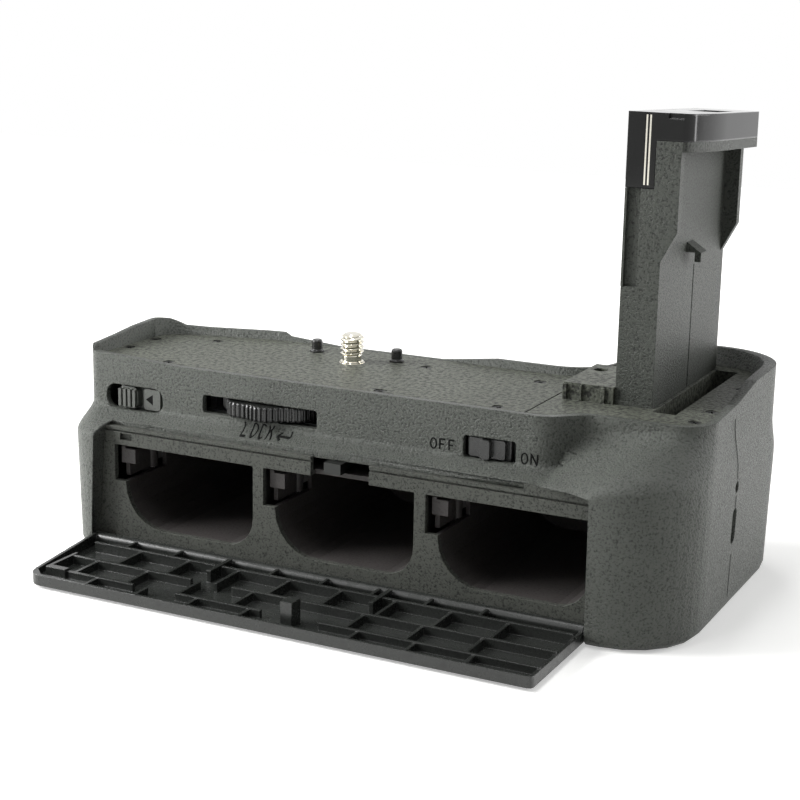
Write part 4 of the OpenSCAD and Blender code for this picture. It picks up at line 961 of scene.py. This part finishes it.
@dataclass
class PlainNodes:
    """CAD nodes that keep their own shape and only get a finish."""

    palette: Palette

    def build(self) -> None:
        """Gives each node its finish."""
        p = Palette
        rows = {
            p.SLEEVE: ["battery_sleeve_1", "battery_sleeve_2", "battery_sleeve_3", "contact_block_1",
                       "contact_block_2", "contact_block_3", "battery_catch_1", "battery_catch_2",
                       "battery_catch_3"],
            p.ZINC: ["base_plate", "catch_pins", "catch_springs", "hinge_pin", "latch_spring", "wheel_axle",
                     "gear_bracket", "charge_socket", "board_screws"],
            p.BLACKENED: ["latch_bar", "slide_switch"],
            p.NICKEL: ["tripod_bush", "tower_contacts"],
            p.NYLON: ["wheel_gear", "screw_gear"],
            p.GILT: ["bay_contacts"],
            p.BOARD: ["circuit_board", "port_board"],
            p.FILM: ["tower_lead"],
            p.CLEAR: ["indicator_lens"],
        }
        for finish, nodes in rows.items():
            for node in nodes:
                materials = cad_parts[node].data.materials
                materials.clear()
                materials.append(self.palette.get(finish))
                LOG.info("%s: %s", node, finish.name)


@dataclass
class LockWheel:
    """The knurled wheel whose rim stands out of the panel and drives the camera screw."""

    palette: Palette
    centre_mm: Point = (-11.395, -17.4, -9.0)
    sizes_mm: dict[str, float] = field(default_factory=lambda: {
        "Radius": 16.0, "Thickness": 3.8, "Lobe Depth": 1.1, "Knurl Depth": 0.6, "Rim Drop": 0.3})
    counts: dict[str, int] = field(default_factory=lambda: {"Lobes": 9, "Knurls": 66})
    steps_per_knurl: int = 12
    rim_steps: int = 10
    # Cosines of the angles between which a knurl falls to its groove
    knurl_flank: Pair = (0.35, -0.55)
    # Shares of the thickness between which the rim is rounded
    rim_share: Pair = (0.38, 0.5)
    sharp: float = 40.0

    def build(self) -> None:
        """Builds the wheel."""
        plastic = self.palette.get(Palette.CONTROL)
        mesh = grow(self._tree(), plastic, self.sizes_mm, self.counts)
        mesh.transform(Matrix.Translation(Vector(self.centre_mm) * MM))
        smooth_by_angle(mesh, self.sharp)
        place_piece("lock_wheel_moulding", mesh, plastic, Body.WHEEL, ["lock_wheel"])

    def _tree(self) -> NodeTree:
        """Makes a drum whose rim follows lobes and knurls.

        Returns:
            The geometry tree.
        """
        tree, source, output = new_tree("knurled_wheel", list(self.sizes_mm), list(self.counts))
        size = source.outputs
        drum = add_node(tree, "GeometryNodeMeshCylinder", {
            "Vertices": calc(tree, "MULTIPLY", size["Knurls"], self.steps_per_knurl),
            "Side Segments": self.rim_steps, "Radius": size["Radius"], "Depth": size["Thickness"]})
        spot = add_node(tree, "GeometryNodeInputPosition").outputs["Position"]
        axes = add_node(tree, "ShaderNodeSeparateXYZ", {"Vector": spot}).outputs
        angle = calc(tree, "ARCTAN2", axes["Y"], axes["X"])
        wave = calc(tree, "COSINE", calc(tree, "MULTIPLY", angle, size["Lobes"]))
        lobe = calc(tree, "MULTIPLY", calc(tree, "MULTIPLY_ADD", wave, -0.5, 0.5), size["Lobe Depth"])
        tooth = calc(tree, "COSINE", calc(tree, "MULTIPLY", angle, size["Knurls"]))
        groove = ranged(tree, tooth, self.knurl_flank, (0.0, size["Knurl Depth"]), eased=True)
        height = calc(tree, "DIVIDE", calc(tree, "ABSOLUTE", axes["Z"]), size["Thickness"])
        rim = ranged(tree, height, self.rim_share, (0.0, size["Rim Drop"]), eased=True)
        drop = calc(tree, "ADD", calc(tree, "ADD", lobe, groove), rim)
        share = calc(tree, "SUBTRACT", 1.0, calc(tree, "DIVIDE", drop, size["Radius"]))
        flat = add_node(tree, "ShaderNodeCombineXYZ", {
            "X": calc(tree, "MULTIPLY", axes["X"], share), "Y": calc(tree, "MULTIPLY", axes["Y"], share),
            "Z": axes["Z"]})
        cut = add_node(tree, "GeometryNodeSetPosition", {
            "Geometry": drum.outputs["Mesh"], "Position": flat.outputs["Vector"]})
        end_tree(tree, cut.outputs["Geometry"], source, output)
        return tree


@dataclass
class CameraScrew:
    """The plated screw that holds the camera: a journal flush with the seat, a neck and a thread."""

    palette: Palette
    sizes_mm: dict[str, float] = field(default_factory=lambda: {
        "Root": 2.5, "Depth": 0.675, "Pitch": 1.27, "Start": 1.75, "End": 7.8, "Lead": 0.5})
    # The turned part's radius and height, from its foot to its neck
    turned_mm: tuple[Pair, ...] = (
        (0.0, -15.0), (2.5, -15.0), (2.5, -13.0), (3.0, -13.0), (3.0, -3.0), (3.5, -3.0), (3.5, -0.12),
        (3.38, 0.0), (3.175, 0.02), (3.175, 0.28), (3.1, 0.35), (2.6, 0.35), (2.6, 1.8), (0.0, 1.8))
    turn_steps: int = 72
    thread_steps: int = 150
    # Shares of the pitch between which the thread rises to its crest
    flank: Pair = (0.06, 0.42)
    # How far the tip lies below the root, as a share of the thread's depth, and the slope up from it
    tip_drop: float = 0.6
    tip_slope: float = 1.1
    sharp: float = 32.0

    def build(self) -> None:
        """Builds the screw as one piece."""
        metal = self.palette.get(Palette.NICKEL)
        work = bmesh.new()
        work.from_mesh(grow(self._tree(), metal, self.sizes_mm))
        ring = [work.verts.new(Vector((r, 0, z)) * MM) for r, z in self.turned_mm]
        edges = [work.edges.new(pair) for pair in zip(ring, ring[1:])]
        bmesh.ops.spin(work, geom=ring + edges, cent=(0, 0, 0), axis=(0, 0, 1), angle=math.tau,
                       steps=self.turn_steps, use_merge=True)
        mesh = bpy.data.meshes.new("camera_screw")
        work.to_mesh(mesh)
        work.free()
        smooth_by_angle(outward(mesh), self.sharp)
        place_piece("camera_screw_turned", mesh, metal, Body.SCREW, ["camera_screw"])

    def _tree(self) -> NodeTree:
        """Makes a rod whose radius follows a helix, with a rise at its foot and a tapered tip.

        Returns:
            The geometry tree.
        """
        tree, source, output = new_tree("screw_thread", list(self.sizes_mm))
        size = source.outputs
        long = calc(tree, "SUBTRACT", size["End"], size["Start"])
        rod = add_node(tree, "GeometryNodeMeshCylinder", {
            "Vertices": self.turn_steps, "Side Segments": self.thread_steps, "Radius": 1.0, "Depth": long})
        spot = add_node(tree, "GeometryNodeInputPosition").outputs["Position"]
        axes = add_node(tree, "ShaderNodeSeparateXYZ", {"Vector": spot}).outputs
        turn = calc(tree, "DIVIDE", calc(tree, "ARCTAN2", axes["Y"], axes["X"]), math.tau)
        phase = calc(tree, "SUBTRACT", calc(tree, "DIVIDE", axes["Z"], size["Pitch"]), turn)
        ramp = calc(tree, "PINGPONG", phase, 0.5)
        crest = ranged(tree, ramp, self.flank, (0.0, size["Depth"]))
        above = calc(tree, "MULTIPLY_ADD", long, 0.5, axes["Z"])
        below = calc(tree, "SUBTRACT", long, above)
        rise = ranged(tree, calc(tree, "DIVIDE", above, size["Lead"]), UNIT_RANGE, UNIT_RANGE)
        tall = calc(tree, "ADD", size["Root"], calc(tree, "MULTIPLY", crest, rise))
        end = calc(tree, "SUBTRACT", size["Root"], calc(tree, "MULTIPLY", size["Depth"], self.tip_drop))
        tip = calc(tree, "ADD", end, calc(tree, "MULTIPLY", below, self.tip_slope))
        radius = calc(tree, "MINIMUM", tall, tip)
        lift = calc(tree, "ADD", axes["Z"], calc(tree, "MULTIPLY_ADD", long, 0.5, size["Start"]))
        wound = add_node(tree, "ShaderNodeCombineXYZ", {
            "X": calc(tree, "MULTIPLY", axes["X"], radius), "Y": calc(tree, "MULTIPLY", axes["Y"], radius),
            "Z": lift})
        cut = add_node(tree, "GeometryNodeSetPosition", {
            "Geometry": rod.outputs["Mesh"], "Position": wound.outputs["Vector"]})
        end_tree(tree, cut.outputs["Geometry"], source, output)
        return tree


@dataclass
class Fasteners:
    """Cross-head screws, one tree for every group."""

    palette: Palette
    sizes_mm: dict[str, float] = field(default_factory=lambda: {
        "Head Radius": 1.58, "Head Height": 0.9, "Shank Radius": 0.8, "Shank Length": 4.0,
        "Cross Length": 1.7, "Cross Width": 0.42, "Cross Depth": 0.55})
    tops_mm: dict[str, tuple[Pair, ...]] = field(default_factory=lambda: {
        "plate_screws": ((-61.7, -15.5), (-61.7, -2.8), (-41.7, -25.7), (21.9, -25.7), (54.3, -25.7),
                         (-45.0, 4.1), (20.1, 4.6), (52.9, 4.6)),
        "deck_screws": ((101.1, 23.1), (101.1, -3.7), (100.5, -15.6))})
    head_z_mm: float = -0.2
    # Half the spacing of the base screws across and in depth, and the height of their heads
    base_mm: Point = (30.0, 12.0, -51.5)
    base_shank_mm: float = 1.0
    head_steps: int = 40
    shank_steps: int = 20
    # Turn from one screw's cross to the next, in radians
    spin_step: float = 1.9
    sharp: float = 32.0

    def build(self) -> None:
        """Builds the three groups of screws."""
        tree = self._tree()
        for node, places in self.tops_mm.items():
            self._group(tree, node, [(x, y, self.head_z_mm) for x, y in places], self.sizes_mm)
        across, deep, height = self.base_mm
        feet = [(x, y, -height) for x in (-across, across) for y in (-deep, deep)]
        short = {**self.sizes_mm, "Shank Length": self.base_shank_mm}
        self._group(tree, "base_screws", feet, short, math.pi)

    def _group(
        self, tree: NodeTree, node: str, places_mm: Sequence[Point], sizes_mm: dict[str, float],
        turn: float = 0.0
    ) -> None:
        """Builds one group of screws.

        Args:
            tree: The screw tree.
            node: The CAD node that the group stands for.
            places_mm: Where each head's top lies, before the turn.
            sizes_mm: The tree's lengths by name.
            turn: Turn of the whole group about X.
        """
        metal = self.palette.get(Palette.BLACKENED)
        mesh = grow(tree, metal, sizes_mm, points_mm=places_mm)
        mesh.transform(Matrix.Rotation(turn, 4, "X"))
        smooth_by_angle(mesh, self.sharp)
        place_piece(node + "_turned", mesh, metal, Body.GRIP, [node])

    def _tree(self) -> NodeTree:
        """Makes a head with a cross recess and a shank on every point, each at its own angle.

        Returns:
            The geometry tree.
        """
        tree, source, output = new_tree("cross_head_screws", list(self.sizes_mm))
        size = source.outputs
        head = add_node(tree, "GeometryNodeMeshCylinder", {
            "Vertices": self.head_steps, "Radius": size["Head Radius"], "Depth": size["Head Height"]})
        half = calc(tree, "MULTIPLY", size["Head Height"], -0.5)
        cross = add_node(tree, "GeometryNodeMeshBoolean", operation="UNION", solver="EXACT")
        for width, depth in (("Cross Length", "Cross Width"), ("Cross Width", "Cross Length")):
            block = add_node(tree, "ShaderNodeCombineXYZ", {
                "X": size[width], "Y": size[depth], "Z": calc(tree, "MULTIPLY", size["Cross Depth"], 2.0)})
            bar = add_node(tree, "GeometryNodeMeshCube", {"Size": block.outputs["Vector"]})
            tree.links.new(bar.outputs["Mesh"], cross.inputs["Mesh 2"])
        cut = add_node(tree, "GeometryNodeMeshBoolean", {
            "Mesh 1": self._raised(tree, head.outputs["Mesh"], half), "Mesh 2": cross.outputs["Mesh"]},
            operation="DIFFERENCE", solver="EXACT")
        shank = add_node(tree, "GeometryNodeMeshCylinder", {
            "Vertices": self.shank_steps, "Radius": size["Shank Radius"], "Depth": size["Shank Length"]})
        middle = calc(tree, "MULTIPLY", size["Shank Length"], -0.5)
        deep = calc(tree, "SUBTRACT", middle, size["Head Height"])
        one = add_node(tree, "GeometryNodeJoinGeometry")
        tree.links.new(cut.outputs["Mesh"], one.inputs["Geometry"])
        tree.links.new(self._raised(tree, shank.outputs["Mesh"], deep), one.inputs["Geometry"])
        index = add_node(tree, "GeometryNodeInputIndex").outputs["Index"]
        spin = add_node(tree, "ShaderNodeCombineXYZ", {"Z": calc(tree, "MULTIPLY", index, self.spin_step)})
        sown = add_node(tree, "GeometryNodeInstanceOnPoints", {
            "Points": source.outputs["Geometry"], "Instance": one.outputs["Geometry"],
            "Rotation": spin.outputs["Vector"]})
        end_tree(tree, sown.outputs["Instances"], source, output)
        return tree

    @staticmethod
    def _raised(tree: NodeTree, shape: NodeSocket, height: NodeSocket) -> NodeSocket:
        """Moves a shape along Z.

        Args:
            tree: The tree.
            shape: The shape's socket.
            height: The height's socket.

        Returns:
            The moved shape's socket.
        """
        step = add_node(tree, "ShaderNodeCombineXYZ", {"Z": height})
        return add_node(tree, "GeometryNodeTransform", {
            "Geometry": shape, "Translation": step.outputs["Vector"]}).outputs["Geometry"]


def bow(centre: Pair, radii: Pair, start: float, end: float, steps: int = 20) -> Stroke:
    """Gives points along an ellipse's arc.

    Args:
        centre: Its centre.
        radii: Its two radii.
        start: First angle in degrees.
        end: Last angle in degrees.
        steps: How many steps the arc has.

    Returns:
        The points.
    """
    turns = [math.radians(start + (end - start) * k / steps) for k in range(steps + 1)]
    return [(centre[0] + radii[0] * math.cos(t), centre[1] + radii[1] * math.sin(t)) for t in turns]


def finer(stroke: Stroke, step: float) -> Stroke:
    """Adds points along a line.

    Args:
        stroke: The line's points.
        step: The longest step that is kept.

    Returns:
        The finer points.
    """
    points = []
    for (ax, az), (bx, bz) in zip(stroke, stroke[1:]):
        count = max(1, math.ceil(math.hypot(bx - ax, bz - az) / step))
        points += [(ax + (bx - ax) * k / count, az + (bz - az) * k / count) for k in range(count)]
    return [*points, stroke[-1]]


class Mark(Enum):
    """Single-line marks in a cell one unit tall."""

    L = (((0, 1), (0, 0), (0.55, 0)),)
    O = (tuple(bow((0.3, 0.5), (0.3, 0.5), 0, 360)),)
    C = (tuple(bow((0.32, 0.5), (0.32, 0.5), 48, 312)),)
    K = (((0, 0), (0, 1)), ((0.56, 1), (0, 0.4)), ((0.18, 0.6), (0.58, 0)))
    F = (((0, 0), (0, 1), (0.55, 1)), ((0, 0.52), (0.44, 0.52)))
    N = (((0, 0), (0, 1), (0.6, 0), (0.6, 1)),)
    ARROW = (((1.5, 0.75), (1.5, 0.3), (0, 0.3)), ((0.5, 0.55), (0, 0.3), (0.5, 0.05)))


@dataclass(frozen=True)
class Word:
    """A word on the panel: its piece's name, its lower left corner, its lean and its marks."""

    name: str
    x_mm: float
    z_mm: float
    lean: float
    marks: tuple[Mark, ...]


@dataclass
class Engraving:
    """Words by the controls and the latch's pointer, flat black as painted groove shade, and the seam line
    on the right end.
    """

    palette: Palette
    height_mm: float = 2.6
    step_mm: float = 2.5
    half_line_mm: float = 0.22
    proud_mm: float = 0.05
    lift_mm: float = 0.03
    fine_mm: float = 0.2
    half_seam_mm: float = 0.1
    seam_mm: tuple[Pair, ...] = ((-2.0, -16.8), (-21.2, -24.2), (-36.4, -47.5))
    pointer_y_mm: float = -29.0
    pointer_mm: tuple[Pair, ...] = ((-47.0, -10.3), (-44.8, -11.7), (-44.8, -8.9))
    # How far outside the wall a point starts its way to it, in metres
    ray_start: float = 0.2
    sharp: float = 60.0
    words: tuple[Word, ...] = (
        Word("off_mark", 38.0, -11.7, 0.0, (Mark.O, Mark.F, Mark.F)),
        Word("on_mark", 62.3, -12.2, 0.0, (Mark.O, Mark.N)),
        Word("lock_mark", -14.5, -14.8, -0.4, (Mark.L, Mark.O, Mark.C, Mark.K)),
        Word("turn_mark", -4.2, -14.8, -0.4, (Mark.ARROW,)),
    )

    def build(self, carrier: Object) -> None:
        """Draws every word and line.

        Args:
            carrier: The shell that they lie on.
        """
        wall = BVHTree.FromObject(carrier, bpy.context.evaluated_depsgraph_get())
        self._pointer()
        # Each word is a flat black line on the wall: painted shade standing in for the shade in its engraved
        # groove
        for word in self.words:
            self._line(word.name, self._strokes(word), wall, NEAR, self.half_line_mm)
        half = self.half_seam_mm
        seam = [((-half, top), (-half, low)) for top, low in self.seam_mm]
        self._line("seam_line", seam, wall, RIGHT, half)

    def _strokes(self, word: Word) -> list[Stroke]:
        """Lays a word's marks side by side.

        Args:
            word: The word.

        Returns:
            Its lines in the panel's plane, in millimetres.
        """
        tall = self.height_mm
        strokes = []
        for k, mark in enumerate(word.marks):
            left = word.x_mm + self.step_mm * k
            for stroke in mark.value:
                strokes.append([(left + (px + word.lean * pz) * tall, word.z_mm + pz * tall)
                                for px, pz in stroke])
        return strokes

    def _pointer(self) -> None:
        """Draws the triangle that shows which way the latch slides, flat black as painted shade in its
        engraved groove.
        """
        face, depth = self.pointer_y_mm, self.proud_mm
        rows = [(x * MM, y * MM, z * MM) for y in (face - depth, face + depth) for x, z in self.pointer_mm]
        mesh = bpy.data.meshes.new("latch_pointer")
        mesh.from_pydata(rows, [], [(0, 2, 1), (3, 4, 5), (0, 1, 4, 3), (1, 2, 5, 4), (2, 0, 3, 5)])
        # Flat black triangle: painted shade standing in for the shade in the engraved pointer
        place_piece("latch_pointer", outward(mesh), self.palette.get(Palette.GROOVE_SHADE_AND_SEAM), Body.LATCH)

    def _line(self, name: str, strokes: Sequence[Stroke], wall: BVHTree, side: Side, half_mm: float) -> None:
        """Lays drawn lines on a wall as one piece.

        Args:
            name: The piece's name.
            strokes: The lines in the side's plane, in millimetres.
            wall: The wall that they lie on.
            side: The side of the body that they are on.
            half_mm: Half of a line's width.
        """
        curve = bpy.data.curves.new(name, "CURVE")
        curve.dimensions = "3D"
        curve.bevel_depth = half_mm * MM
        curve.bevel_resolution = 1
        curve.use_fill_caps = True
        for stroke in strokes:
            fine = finer(stroke, self.fine_mm)
            spline = curve.splines.new("POLY")
            spline.points.add(len(fine) - 1)
            for point, (px, pz) in zip(spline.points, fine):
                point.co = (px * MM, 0, pz * MM, 1)
        mesh = plain_mesh(add_object(name, curve))
        along, inward = Vector(side[0]), Vector(side[1])
        for vertex in mesh.vertices:
            start = along * vertex.co.x + Vector((0, 0, vertex.co.z)) - inward * self.ray_start
            flat = vertex.co.y * self.proud_mm / half_mm
            vertex.co = wall.ray_cast(start, inward)[0] + inward * (flat - self.lift_mm * MM)
        smooth_by_angle(mesh, self.sharp)
        # Flat black: painted groove shade for the words, and the seam line's own dark joint
        place_piece(name, mesh, self.palette.get(Palette.GROOVE_SHADE_AND_SEAM), Body.GRIP)


def main() -> None:
    """Builds the scene in order."""
    logging.basicConfig(level=logging.INFO, format="%(name)s %(message)s")
    palette = Palette()
    Studio(CAD_BOX[0][2]).build()
    rear = Casing(palette).build()
    SoftenedPieces(palette).build()
    LockWheel(palette).build()
    CameraScrew(palette).build()
    Fasteners(palette).build()
    Engraving(palette).build(rear)
    PlainNodes(palette).build()


if __name__ == "__main__":
    main()
